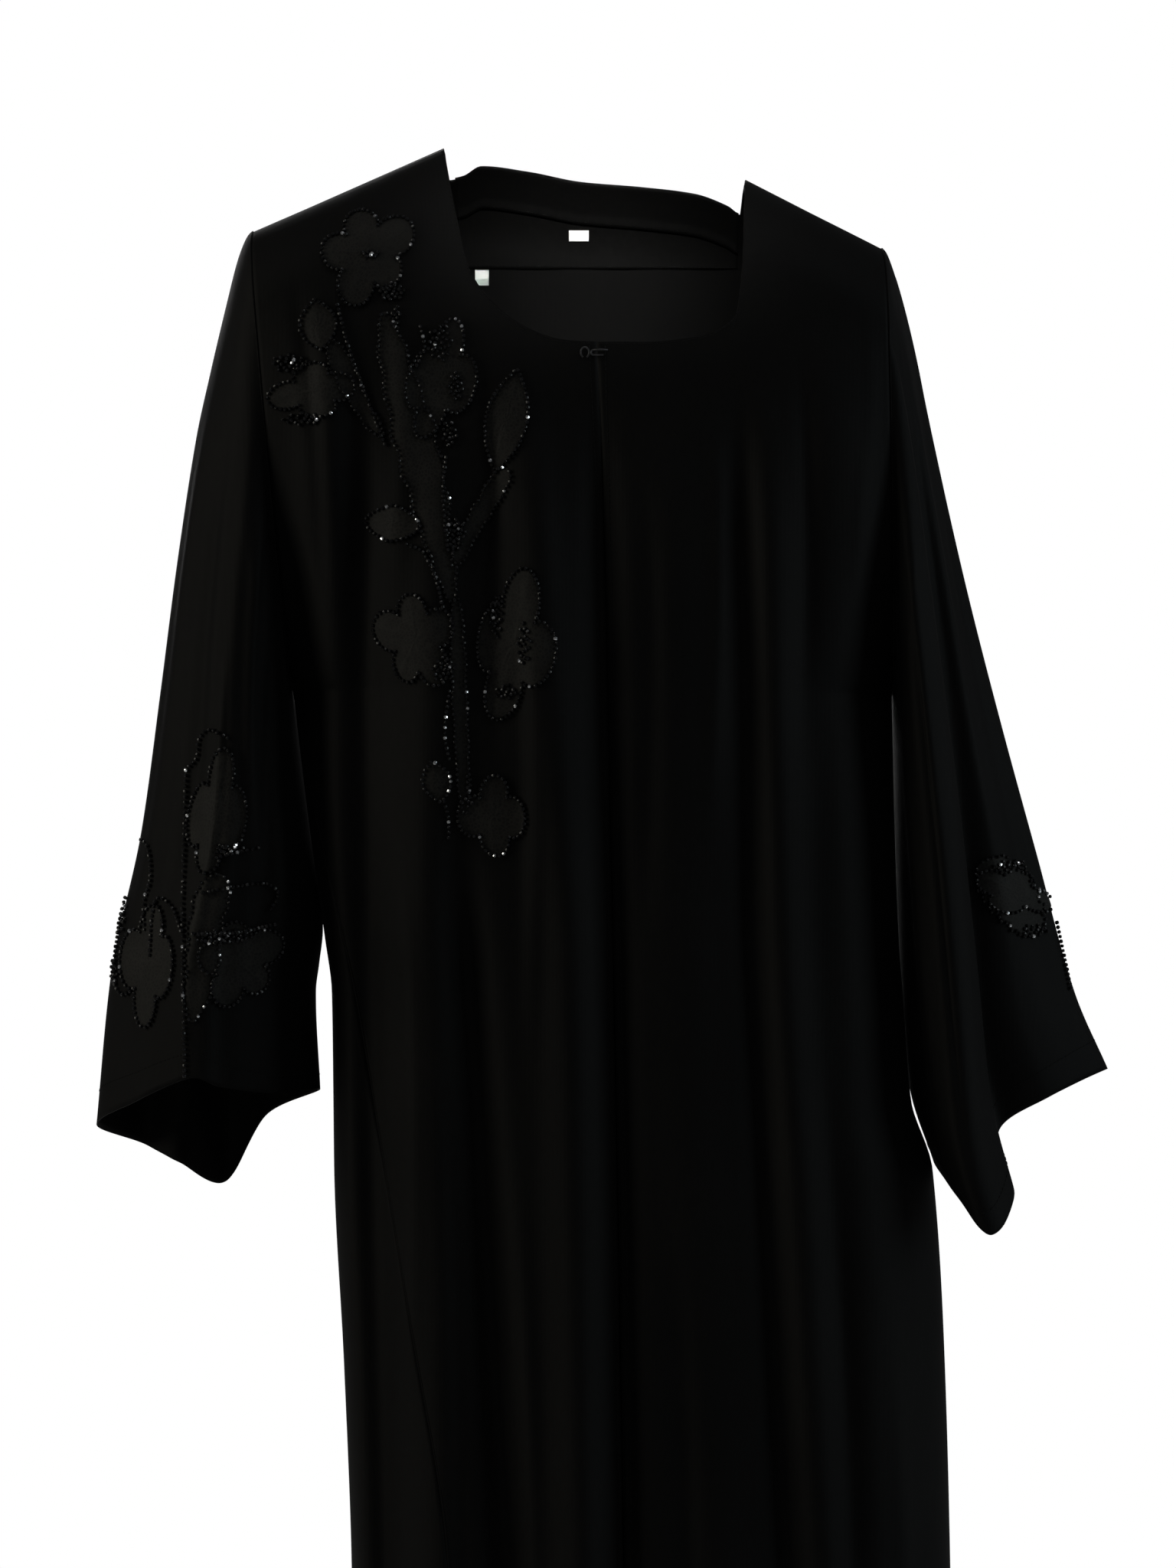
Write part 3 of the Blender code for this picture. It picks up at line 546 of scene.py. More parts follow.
def seam_place(table, z):
    return read_curve([row[0] for row in table], [row[1] for row in table], z)


def smooth_step(value):
    value = min(1.0, max(0.0, value))
    return value * value * (3.0 - 2.0 * value)


def path_lengths(path, upright=1.0):
    lengths = [0.0]
    for before, after in zip(path, path[1:]):
        step = hypot(after[0] - before[0], upright * (after[1] - before[1]))
        lengths.append(lengths[-1] + step)
    return lengths


def path_point(path, share):
    lengths = path_lengths(path)
    place = lengths[-1] * share
    across = read_curve(lengths, [point[0] for point in path], place)
    return (across, read_curve(lengths, [point[1] for point in path], place))


def path_points(path, count, upright=0.35):
    lengths = path_lengths(path, upright)
    places = [lengths[-1] * i / (count - 1) for i in range(count)]
    across = [read_curve(lengths, [point[0] for point in path], place) for place in places]
    up = [read_curve(lengths, [point[1] for point in path], place) for place in places]
    return list(zip(across, up))


print("body width at the waist, mm:",
      round(body_value("right", WAIST_HEIGHT) - body_value("left", WAIST_HEIGHT), 1))

# %% [markdown]
# ## The form of the body
# At each height the cloth runs across the front and the back as two bowed lines that
# meet at the side seams. Above the underarm they stop at the armhole instead, which is
# straight at its top and rounded at its bottom.

# %% Shoulder and armhole
def shoulder_height(x):
    line = [SHOULDER_LEFT, NECK_LEFT, NECK_RIGHT, SHOULDER_RIGHT]
    for start, end in zip(line, line[1:]):
        if x <= end[0] or end is line[-1]:
            return start[1] + (end[1] - start[1]) * (x - start[0]) / (end[0] - start[0])


def armhole_depth(z, on_left):
    top = SHOULDER_LEFT[1] if on_left else SHOULDER_RIGHT[1]
    bottom = UNDERARM_LEFT[1] if on_left else UNDERARM_RIGHT[1]
    down = (top - z) / (top - bottom)
    if down >= 1.0:
        return 0.0
    if down <= ARMHOLE_FULL:
        return ARMHOLE_DEPTH
    return ARMHOLE_DEPTH * sqrt(1.0 - ((down - ARMHOLE_FULL) / (1.0 - ARMHOLE_FULL)) ** 2)


def edge_depth(z, on_left, share):
    """The armhole's depth, eased inwards so that the underarm leaves no dent in a panel."""
    full = armhole_depth(z, on_left)
    eased = full ** 2 / ARMHOLE_DEPTH
    return eased + (full - eased) * share ** ARMHOLE_HOLD


print("armhole depth at the top, mm:", armhole_depth(SHOULDER_LEFT[1], True))

# %% [markdown]
# ## The depth of the cloth
# The depth is the bow, rounded off near the shoulder seam, with the folds and creases
# added. They fade out near a seam, so that two pieces meet in one line. A faint
# waviness, made from a few sines, keeps the cloth from looking machined.

# %% Depth of the cloth
EDGE_GAP = 0.25
CALM_AT_SIDE = 0.12
CALM_AT_SHOULDER = 1.5
FOLD_REACH = 3.2
CREASE_SWAY = 4.0
WAVE_HEIGHT = 0.28


@lru_cache(maxsize=None)
def folds_at_height(front, z):
    """Middle, spread and height of each fold that reaches this height."""
    found = []
    for fold in FRONT_FOLDS if front else BACK_FOLDS:
        if z >= fold.z_start:
            continue
        if z > WAIST_HEIGHT:
            share = (fold.z_start - z) / (fold.z_start - WAIST_HEIGHT)
            middle = fold.x_start + (fold.x_waist - fold.x_start) * share
        else:
            share = (WAIST_HEIGHT - z) / (WAIST_HEIGHT + LENGTH)
            middle = fold.x_waist + (fold.x_hem - fold.x_waist) * share
        grown = smooth_step((fold.z_start - z) / FOLD_FADE) * (0.8 - 0.5 * z / LENGTH)
        found.append((middle, fold.spread, fold.rise * grown))
    for crease in FRONT_CREASES if front else BACK_CREASES:
        down = (crease.z_top - z) / (crease.z_top - crease.z_end)
        if 0.0 < down < 1.0:
            middle = crease.x_top + (crease.x_end - crease.x_top) * down
            middle += CREASE_SWAY * sin(5.0 * down)
            grown = smooth_step(down / 0.3) * smooth_step((1.0 - down) / 0.4)
            found.append((middle, crease.spread, crease.rise * grown))
    return found


def fold_height(front, x, z):
    total = 0.0
    for middle, spread, rise in folds_at_height(front, z):
        away = (x - middle) / spread
        if abs(away) < FOLD_REACH:
            total += rise * exp(-away * away)
    wave = sin(x / 17.0 + 2.2 * sin(z / 170.0)) + 0.6 * sin(x / 7.3 - z / 95.0)
    return total + WAVE_HEIGHT * wave * smooth_step((-90.0 - z) / 200.0)


def depth_at(x, z, face):
    left = body_value("left", z)
    right = body_value("right", z)
    share = min(1.0, abs(2.0 * x - left - right) / (right - left))
    edge = edge_depth(z, x < (left + right) / 2.0, share)
    full = body_value("front" if face < 0 else "back", z)
    swell = max(0.0, 1.0 - share ** body_value("power", z)) ** body_value("blunt", z)
    below = (shoulder_height(x) - z) / SHOULDER_ROUND
    rounding = sqrt(max(0.0, 1.0 - (1.0 - min(1.0, max(0.0, below))) ** 2))
    calm = smooth_step((1.0 - share) / CALM_AT_SIDE) * smooth_step(below / CALM_AT_SHOULDER)
    bow = rounding * (edge + (full - edge) * swell)
    return EDGE_GAP + bow + fold_height(face < 0, x, z) * calm


def body_point(x, z, face):
    return Vector((x, face * depth_at(x, z, face), z))


print("depth at the chest, mm:", round(depth_at(0.0, -250.0, -1), 1))

# %% [markdown]
# ## The rows of a panel
# A panel is a grid: columns run down from its top edge, and rows run across. Each row
# is spaced evenly from seam to seam along the cloth itself, folds included. Even steps
# across the width would be simpler, but they would stretch the sides of every fold.

# %% Rows of a panel
ARC_STEPS = 220
SIDE_END = 0.32
CENTRE_END = 0.45


@lru_cache(maxsize=None)
def body_arc(z, face):
    left = body_value("left", z)
    right = body_value("right", z)
    middle = (left + right) / 2.0
    half = (right - left) / 2.0
    return [body_point(middle - half * cos(pi * i / ARC_STEPS), z, face)
            for i in range(ARC_STEPS + 1)]


def lengths_along(line):
    """Distance along a line from its start to each of its points."""
    steps = np.sqrt((np.diff(line, axis=0) ** 2).sum(1))
    return np.concatenate([[0.0], np.cumsum(steps)])


def resample(points, count, start_gap, end_gap):
    line = np.array([tuple(point) for point in points])
    lengths = lengths_along(line)
    places = np.linspace(start_gap, lengths[-1] - end_gap, count)
    return np.stack([np.interp(places, lengths, line[:, k]) for k in range(3)], 1)


def panel_row(piece, z, count):
    """One level row, which ends a little short of each seam so that no two pieces cross."""
    front = body_arc(z, -1)
    left = body_value("left", z)
    centre = seam_place(CENTRE_FRONT, z)
    seam = max(left, seam_place(SIDE_SEAM, z)) if z < UNDERARM_LEFT[1] else left
    if piece == "front_right":
        inside = [point for point in front if seam < point.x < centre]
        start = body_point(seam, z, -1) if seam > left + 0.5 else front[0]
        return resample([start] + inside + [body_point(centre, z, -1)], count, SIDE_END, CENTRE_END)
    if piece == "front_left":
        inside = [point for point in front if point.x > centre]
        return resample([body_point(centre, z, -1)] + inside, count, CENTRE_END, SIDE_END)
    line = list(body_arc(z, 1))
    if seam > left + 0.5:
        wrap = [body_point(seam, z, -1)]
        wrap += [point for point in reversed(front) if left < point.x < seam]
        line = wrap + line
    return resample(line, count, SIDE_END, SIDE_END)


waist_row = panel_row("back", WAIST_HEIGHT, ARC_STEPS)
print("cloth across the back at the waist, mm:", round(float(lengths_along(waist_row)[-1])))

# %% [markdown]
# ## Whole panels
# Near the shoulder the rows follow the top edge and settle into level rows below the
# yoke, so the neck edge comes out as a clean line. The rows are closer together near
# the underarm, where the cloth turns quickly, and at the hem.

# %% Whole panels
YOKE_STEPS = 26
YOKE_CROWDING = 1.3
UNDERARM_ZONE = (-330.0, -360.0)
ROW_STEPS = (6.0, 2.0, 6.5)
HEM_TURN = 22.0
HEM_ROWS = 8


def top_edge(piece, count):
    if piece == "front_right":
        shoulder = path_points([SHOULDER_LEFT, NECK_LEFT], 1 + count // 2)
        return shoulder[:-1] + path_points(FRONT_NECK_LEFT, count - len(shoulder) + 1)
    if piece == "front_left":
        neck = path_points(FRONT_NECK_RIGHT, 1 + count // 2)
        return neck[:-1] + path_points([NECK_RIGHT, SHOULDER_RIGHT], count - len(neck) + 1)
    side = 1 + count // 4
    left = path_points([SHOULDER_LEFT, NECK_LEFT], side)
    right = path_points([NECK_RIGHT, SHOULDER_RIGHT], side)
    return left[:-1] + path_points(BACK_NECK, count - 2 * side + 2) + right[1:]


def body_heights():
    """Rows below the yoke: close together near the underarm and at the hem."""
    top, bottom = UNDERARM_ZONE
    above, beside, below = ROW_STEPS
    heights = list(np.arange(YOKE_HEIGHT, top, -above))
    heights += list(np.arange(top, bottom, -beside))
    heights += list(np.arange(bottom, -LENGTH + HEM_TURN + 2.0, -below))
    heights += list(np.linspace(-LENGTH + HEM_TURN, -LENGTH, HEM_ROWS))
    return [round(float(z), 3) for z in heights]


def panel_grid(piece, count):
    face = 1 if piece == "back" else -1
    edge = top_edge(piece, count)
    yoke = panel_row(piece, YOKE_HEIGHT, count)
    rows = []
    for i in range(YOKE_STEPS):
        share = (i / YOKE_STEPS) ** YOKE_CROWDING
        row = []
        for (x, z), low in zip(edge, yoke):
            row.append(tuple(body_point(x + (low[0] - x) * share, z + (low[2] - z) * share, face)))
        rows.append(np.array(row))
    rows += [panel_row(piece, z, count) for z in body_heights()]
    return np.array(rows) * MM


print("rows below the yoke:", len(body_heights()))

# %% [markdown]
# ## From rows to cloth
# `sheet_mesh` joins the rows into one smooth sheet, and Solidify gives it the thickness
# of the crepe, under a millimetre. The sheet stands for its plain construction node,
# which is hidden but still carries the collision. Its area is set beside the area of
# the flat cut further on.

# %% Cloth pieces
CLOTH_WALL = 0.0008


def mesh_piece(name, points, faces, finish, smooth=True):
    """A piece made straight from its points and faces."""
    mesh = bpy.data.meshes.new(name)
    mesh.from_pydata(points, [], faces)
    if smooth:
        mesh.shade_smooth()
    mesh.materials.append(finish)
    return new_object(name, mesh)


def thicken(piece, wall):
    shell = piece.modifiers.new("thickness", "SOLIDIFY")
    shell.thickness = wall
    shell.offset = 0.0
    return piece


def sheet_mesh(name, grid, finish, closed=False, wall=CLOTH_WALL, outward=(0.0, -1.0, 0.0)):
    rows, columns = grid.shape[:2]
    index = np.arange(rows * columns).reshape(rows, columns)
    after = np.roll(index, -1, 1) if closed else index[:, 1:]
    before = index if closed else index[:, :-1]
    faces = np.stack([before[:-1], before[1:], after[1:], after[:-1]], -1).reshape(-1, 4)
    points = grid.reshape(-1, 3)
    probe = faces[len(faces) // 2 + columns // 4]
    normal = np.cross(points[probe[1]] - points[probe[0]], points[probe[3]] - points[probe[0]])
    if float(np.dot(normal, outward)) < 0.0:
        faces = faces[:, ::-1]
    return thicken(mesh_piece(name, points.tolist(), faces.tolist(), finish), wall)


def take_place(piece, slot, *nodes):
    """Ride with the robe and stand for the plain nodes; the slot argument is not used."""
    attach(piece, "root")
    if nodes:
        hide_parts(*nodes)
    return piece


def grid_area(grid):
    """Area of a grid of points, in square metres."""
    down = grid[1:, :-1] - grid[:-1, :-1]
    across = grid[:-1, 1:] - grid[:-1, :-1]
    return float(np.sqrt((np.cross(down, across) ** 2).sum(-1)).sum())


PANEL_COLUMNS = {"front_right": 104, "front_left": 96, "back": 200}
grids = {}
cloth = {}
for panel, count in PANEL_COLUMNS.items():
    grids[panel] = panel_grid(panel, count)
    facing_out = (0.0, 1.0, 0.0) if panel == "back" else (0.0, -1.0, 0.0)
    cloth[panel] = sheet_mesh(panel + "_cloth", grids[panel], crepe_black, outward=facing_out)
    take_place(cloth[panel], "black_cloth", panel)
    print(panel, grids[panel].shape[:2], "area, m2:", round(grid_area(grids[panel]), 3))

# %% [markdown]
# ## The sleeves
# A sleeve is a tube between an outer and an inner edge. Its first ring is the armhole,
# almost upright, and its last is the hem, almost level, so the cloth turns from one to
# the other as a real sleeve does. Ten named stations go round each ring. They set the
# folds: a pressed ridge along the right sleeve, and a deep fold that doubles the left
# one. No hem is level: the right cuff hangs lowest at its back, the left one at the
# doubled lobe in front.

# %% Sleeve tables
EDGES = {
    "sleeve_right": {
        "outer": [(-223.5, -44.5), (-236.5, -58.0), (-242.0, -80.0), (-244.0, -102.0),
                  (-259.5, -179.0), (-272.0, -261.0), (-283.0, -345.0), (-295.5, -435.0),
                  (-316.0, -532.5), (-325.0, -627.0)],
        "inner": [(-198.0, -343.0), (-194.0, -380.0), (-187.3, -435.0), (-178.3, -500.0),
                  (-180.5, -522.0), (-182.5, -540.0), (-179.5, -604.0)],
    },
    "sleeve_left": {
        "outer": [(184.5, -55.5), (194.0, -65.0), (199.0, -82.0), (209.0, -138.5),
                  (224.5, -210.0), (242.5, -286.5), (264.0, -370.0), (286.0, -450.5),
                  (311.5, -542.5), (333.0, -591.5)],
        "inner": [(191.5, -345.0), (193.2, -390.0), (194.7, -450.0), (197.4, -520.0),
                  (203.6, -600.0), (219.6, -650.0)],
    },
}
Station = namedtuple("Station", "name top hem top_depth hem_depth hem_z")
RINGS = {
    "sleeve_right": [
        Station("inner", 0.00, 0.00, 24.0, 0.0, -604.0),
        Station("front inner", 0.14, 0.18, -40.0, -45.0, -603.0),
        Station("front", 0.40, 0.40, -58.0, -62.0, -598.0),
        Station("crease", 0.60, 0.54, -56.0, -67.0, -592.0),
        Station("front outer", 0.86, 0.80, -36.0, -42.0, -609.0),
        Station("outer", 1.00, 1.00, 0.0, 0.0, -627.0),
        Station("back outer", 0.86, 0.82, 36.0, 40.0, -643.0),
        Station("back fold", 0.64, 0.65, 52.0, 33.0, -655.0),
        Station("back low", 0.42, 0.46, 56.0, 60.0, -670.0),
        Station("back inner", 0.16, 0.27, 42.0, 48.0, -625.0),
    ],
    "sleeve_left": [
        Station("inner", 0.00, 0.00, 18.0, 22.0, -650.0),
        Station("lobe inner", 0.14, 0.08, -38.0, -48.0, -668.0),
        Station("lobe front", 0.40, 0.25, -58.0, -72.0, -691.0),
        Station("lobe edge", 0.72, 0.40, -50.0, -50.0, -668.0),
        Station("lobe valley", 0.78, 0.34, -34.0, -20.0, -630.0),
        Station("outer front", 0.90, 0.64, -24.0, -18.0, -607.0),
        Station("outer", 1.00, 1.00, 2.0, 14.0, -591.5),
        Station("back outer", 0.84, 0.80, 34.0, 50.0, -606.0),
        Station("back", 0.46, 0.44, 52.0, 66.0, -625.0),
        Station("back inner", 0.14, 0.14, 40.0, 46.0, -645.0),
    ],
}
SleeveCrease = namedtuple("SleeveCrease", "around top end drift spread rise")
SLEEVE_CREASES = {
    "sleeve_right": [
        SleeveCrease(0.13, 0.05, 0.80, 0.03, 0.020, -3.0),
        SleeveCrease(0.21, 0.02, 0.62, -0.02, 0.022, 2.6),
        SleeveCrease(0.30, 0.30, 1.02, 0.01, 0.012, 2.4),
        SleeveCrease(0.37, 0.04, 0.86, -0.02, 0.020, -2.8),
        SleeveCrease(0.43, 0.10, 0.95, 0.01, 0.018, 2.4),
        SleeveCrease(0.60, 0.06, 0.90, -0.03, 0.022, -3.0),
        SleeveCrease(0.74, 0.10, 0.96, 0.02, 0.022, 2.6),
        SleeveCrease(0.86, 0.04, 0.70, -0.02, 0.020, -2.4),
    ],
    "sleeve_left": [
        SleeveCrease(0.10, 0.05, 0.90, 0.02, 0.020, 2.6),
        SleeveCrease(0.19, 0.10, 0.98, 0.01, 0.018, -2.6),
        SleeveCrease(0.48, 0.05, 0.90, 0.03, 0.020, 2.2),
        SleeveCrease(0.56, 0.20, 0.98, -0.01, 0.018, -2.6),
        SleeveCrease(0.66, 0.06, 0.80, 0.02, 0.020, 2.4),
        SleeveCrease(0.78, 0.08, 0.95, -0.02, 0.022, -3.0),
        SleeveCrease(0.89, 0.04, 0.80, 0.02, 0.020, 2.6),
    ],
}
ARMHOLE_BLEND = 0.16
HEM_BLEND = 0.45
print("stations round each sleeve:", {name: len(rows) for name, rows in RINGS.items()})

# %% Round the armhole
def spline_point(before, start, end, after, t):
    """A point between start and end, on the smooth curve through all four."""
    return 0.5 * (2.0 * start + (end - before) * t
                  + (2.0 * before - 5.0 * start + 4.0 * end - after) * t * t
                  + (3.0 * start - before - 3.0 * end + after) * t ** 3)


def closed_spline(points, share):
    total = len(points)
    place = (share % 1.0) * total
    i = int(place) % total
    near = [points[(i + k) % total] for k in (-1, 0, 1, 2)]
    return spline_point(*near, place - int(place))


def armhole_point(on_left, across, front):
    start = UNDERARM_LEFT if on_left else UNDERARM_RIGHT
    end = SHOULDER_LEFT if on_left else SHOULDER_RIGHT
    x = start[0] + (end[0] - start[0]) * across
    z = start[1] + (end[1] - start[1]) * across
    below = min(1.0, max(0.0, (shoulder_height(x) - z) / SHOULDER_ROUND))
    depth = armhole_depth(z, on_left) * sqrt(1.0 - (1.0 - below) ** 2)
    return np.array((x, -depth if front else depth, z))


def outer_share(stations):
    names = [station.name for station in stations]
    return names.index("outer") / len(names)


print("right armhole at the shoulder, mm:", armhole_point(False, 1.0, True))

# %% [markdown]
# ## The rings of a sleeve
# A ring is a closed curve through the ten stations at one share of the way down. The
# first rings are blended into the armhole. Each is moved out from the body by one to
# two millimetres, so that sleeve and panel don't cross.

# %% Rings of a sleeve
SLEEVE_OUT = 0.9
SLEEVE_OUT_BELOW = 0.8
SLEEVE_OUT_RUN = 0.05
RIPPLE_HEIGHT = 0.22
RIPPLE_RATE = 88.0


def sleeve_ring(name, down, count):
    """One ring of a sleeve, from the armhole (0) to the hem (1)."""
    edges = EDGES[name]
    stations = RINGS[name]
    outward = -1.0 if name == "sleeve_right" else 1.0
    outer = path_point(edges["outer"], down)
    inner = path_point(edges["inner"], down)
    hem_outer = edges["outer"][-1]
    hem_inner = edges["inner"][-1]
    drop = smooth_step((down - HEM_BLEND) / (1.0 - HEM_BLEND))
    ring = []
    for station in stations:
        across = station.top + (station.hem - station.top) * down
        depth = station.top_depth + (station.hem_depth - station.top_depth) * down
        level = hem_inner[1] + (hem_outer[1] - hem_inner[1]) * station.hem
        ring.append(np.array((inner[0] + (outer[0] - inner[0]) * across, depth,
                              inner[1] + (outer[1] - inner[1]) * across
                              + drop * (station.hem_z - level))))
    tops = [np.array(station.top) for station in stations]
    points = []
    for k in range(count):
        around = k / count
        point = closed_spline(ring, around)
        if down < ARMHOLE_BLEND:
            across = min(1.0, max(0.0, float(closed_spline(tops, around))))
            mouth = armhole_point(name == "sleeve_right", across, around < outer_share(stations))
            point = mouth + (point - mouth) * smooth_step(down / ARMHOLE_BLEND)
        points.append(point)
    points = np.array(points)
    points += crease_push(name, down, points)
    points[:, 0] += outward * (SLEEVE_OUT + SLEEVE_OUT_BELOW * smooth_step(down / SLEEVE_OUT_RUN))
    return points


def crease_push(name, down, ring):
    """How far the creases move the points of one ring, straight out from the cloth."""
    count = len(ring)
    along = np.roll(ring, -1, 0) - np.roll(ring, 1, 0)
    out = np.stack([along[:, 1], -along[:, 0], np.zeros(count)], 1)
    out /= np.maximum(np.sqrt((out ** 2).sum(1)), 1e-6)[:, None]
    middle = ring.mean(0)
    out *= np.sign((out * (ring - middle)).sum(1).mean())
    push = np.zeros(count)
    around = np.arange(count) / count
    for crease in SLEEVE_CREASES[name]:
        share = (down - crease.top) / (crease.end - crease.top)
        if 0.0 < share < 1.0:
            grown = smooth_step(share / 0.3) * smooth_step((1.0 - share) / 0.35)
            away = (around - crease.around - crease.drift * share) / crease.spread
            push += crease.rise * grown * np.exp(-away * away)
    ripple = np.sin(around * RIPPLE_RATE + 6.0 * down)
    push += RIPPLE_HEIGHT * ripple * smooth_step(down / 0.15)
    return out * push[:, None]


cuff_ring = sleeve_ring("sleeve_left", 1.0, ARC_STEPS)
cuff_line = np.concatenate([cuff_ring, cuff_ring[:1]])
print("cloth round the left cuff, mm:", round(float(lengths_along(cuff_line)[-1])))

# %% Sleeve cloth
SLEEVE_COLUMNS = 168
UPPER_RINGS = 112
HEM_RINGS = 9
sleeve_shares = [(i / (UPPER_RINGS + 6)) ** 1.1 for i in range(UPPER_RINGS)]
sleeve_shares += list(np.linspace(sleeve_shares[-1] + 0.006, 1.0, HEM_RINGS))
for name in EDGES:
    grids[name] = np.array([sleeve_ring(name, share, SLEEVE_COLUMNS)
                            for share in sleeve_shares]) * MM
    cloth[name] = sheet_mesh(name + "_cloth", grids[name], crepe_black, closed=True)
    take_place(cloth[name], "black_cloth", name)
    print(name, grids[name].shape[:2], "area, m2:", round(grid_area(grids[name]), 3))

# %% [markdown]
# ## Back neck: band and facing
# Inside the back of the neck, a band of self cloth covers the seam, and a facing hangs
# under it with a straight lower edge. Both lie on the back panel, so they are made from
# its points, moved inwards by the thickness of the layers. The top of the band is
# rolled over the neck edge, which gives the soft rounded rim in the photograph. Its
# lower edge stands out a little, because it covers the top of the facing.

# %% Band and facing
BAND_HEIGHT = 23.5
BAND_REACH = 93.4
FACING_BOTTOM = -62.0
LAYER = 1.1
TRIM_COLUMNS = 90
BAND_ROLL = ((-0.9, -0.2), (-1.3, 0.4), (-0.7, 1.0))
BAND_TOP = 0.2
BAND_ROWS = 14
BAND_PUFF = 0.35
LIP_HEIGHT = 0.95
LIP_START = 0.72
LIP_RUN = 0.2
FACING_ROWS = 22
FACING_TUCK = 1.5
TRIM_WALL = 0.0007


def neck_edge_height(x):
    return read_curve([point[0] for point in BACK_NECK], [point[1] for point in BACK_NECK], x)


def back_inside(x, z, inward):
    """A point in front of the back's cloth, moved inwards."""
    here = body_point(x, z, 1)
    aside = body_point(x + 1.0, z, 1) - body_point(x - 1.0, z, 1)
    below = body_point(x, z - 1.0, 1) - body_point(x, z + 1.0, 1)
    normal = aside.cross(below).normalized()
    if normal.y > 0.0:
        normal = -normal
    return tuple(here + normal * inward)


def band_grid():
    places = np.linspace(-BAND_REACH, BAND_REACH, TRIM_COLUMNS)
    rows = []
    for down, lift in BAND_ROLL:
        rows.append([back_inside(x, neck_edge_height(x) - BAND_TOP - down, lift) for x in places])
    for i in range(BAND_ROWS):
        share = i / (BAND_ROWS - 1)
        down = BAND_TOP + (BAND_HEIGHT - BAND_TOP) * share
        puff = BAND_PUFF * sin(pi * share)
        puff += LIP_HEIGHT * smooth_step((share - LIP_START) / LIP_RUN)
        rows.append([back_inside(x, neck_edge_height(x) - down, LAYER + 0.2 + puff)
                     for x in places])
    return np.array(rows) * MM


def facing_grid():
    places = np.linspace(-BAND_REACH, BAND_REACH, TRIM_COLUMNS)
    rows = []
    for i in range(FACING_ROWS):
        share = i / (FACING_ROWS - 1)
        row = []
        for x in places:
            top = neck_edge_height(x) - BAND_HEIGHT + FACING_TUCK
            z = top + (FACING_BOTTOM - top) * share
            ripple = 0.25 * sin(x / 9.0) * share
            row.append(back_inside(x, z, LAYER + ripple))
        rows.append(row)
    return np.array(rows) * MM


grids["band"] = band_grid()
grids["facing"] = facing_grid()
band = sheet_mesh("back_neck_band_cloth", grids["band"], crepe_trim, wall=TRIM_WALL)
facing = sheet_mesh("back_neck_facing_cloth", grids["facing"], crepe_trim,
                    wall=TRIM_WALL)
take_place(band, "black_trim", "back_neck_band")
take_place(facing, "black_trim", "back_neck_facing")
print("band and facing points:", len(band.data.vertices) + len(facing.data.vertices))

# %% [markdown]
# ## The neck label and the care tab
# Two scraps of white satin tape. The neck label is sewn flat on the facing under the
# band seam, with its ends folded under. The care tab hangs just below the lower edge of
# the facing. Both are bare. Each is a small grid with a fold at its ends and a slight
# curl, because a perfectly flat rectangle would look like paper.

# %% Labels
LABEL_SIZE = (13.0, 7.0)
LABEL_PLACE = (-12.0, -40.5)
TAB_SIZE = (9.0, 10.0)
TAB_PLACE = (-76.5, -67.5)
TAPE_WALL = 0.0004


def label_grid(place, size, lift, curl, columns=28, rows=16):
    grid = []
    for i in range(rows):
        down = i / (rows - 1)
        row = []
        for k in range(columns):
            across = k / (columns - 1)
            fold = 0.35 * exp(-((min(across, 1.0 - across) - 0.03) / 0.03) ** 2)
            x = place[0] + size[0] * (across - 0.5)
            z = place[1] + size[1] * (0.5 - down)
            bow = curl * down * down + 0.2 * sin(pi * across) + fold
            row.append(back_inside(x, z, lift + bow))
        grid.append(row)
    return np.array(grid) * MM


label = sheet_mesh("neck_label_tape", label_grid(LABEL_PLACE, LABEL_SIZE, LAYER + 0.7, 0.1),
                   tape, wall=TAPE_WALL)
tab = sheet_mesh("care_tab_tape", label_grid(TAB_PLACE, TAB_SIZE, 0.55, 1.1), tape,
                 wall=TAPE_WALL)
take_place(label, "white_tape", "neck_label")
take_place(tab, "white_tape", "care_tab")
print("label, mm:", LABEL_SIZE, "tab, mm:", TAB_SIZE)

# %% [markdown]
# ## Many small things: one mesh
# Stitches and beads come in hundreds. Each kind is one small master shape that NumPy
# copies to every place and joins into one mesh, which is far quicker than adding
# objects one by one. A stitch is a little six-sided bar with tapered ends, half sunk in
# the cloth. The places come from walking along the edge of a grid.

# %% Joined copies
def joined(name, master, faces, frames, finish, smooth=True):
    """Copies of one master shape: frames are (place, three axes) pairs."""
    points = []
    polygons = []
    for place, axes in frames:
        polygons += (faces + len(points) * len(master)).tolist()
        points.append(master @ axes + place)
    return mesh_piece(name, np.concatenate(points).tolist(), polygons, finish, smooth)


def stitch_master():
    rings = []
    for place, size in ((-0.5, 0.35), (-0.3, 0.9), (0.0, 1.0), (0.3, 0.9), (0.5, 0.35)):
        rings += [(place, 0.5 * size * cos(pi * k / 3.0), 0.5 * size * sin(pi * k / 3.0))
                  for k in range(6)]
    faces = []
    for r in range(4):
        for k in range(6):
            after = (k + 1) % 6
            faces.append((r * 6 + k, r * 6 + after, r * 6 + 6 + after, r * 6 + 6 + k))
    return np.array(rings), np.array(faces)


STITCH, STITCH_FACES = stitch_master()


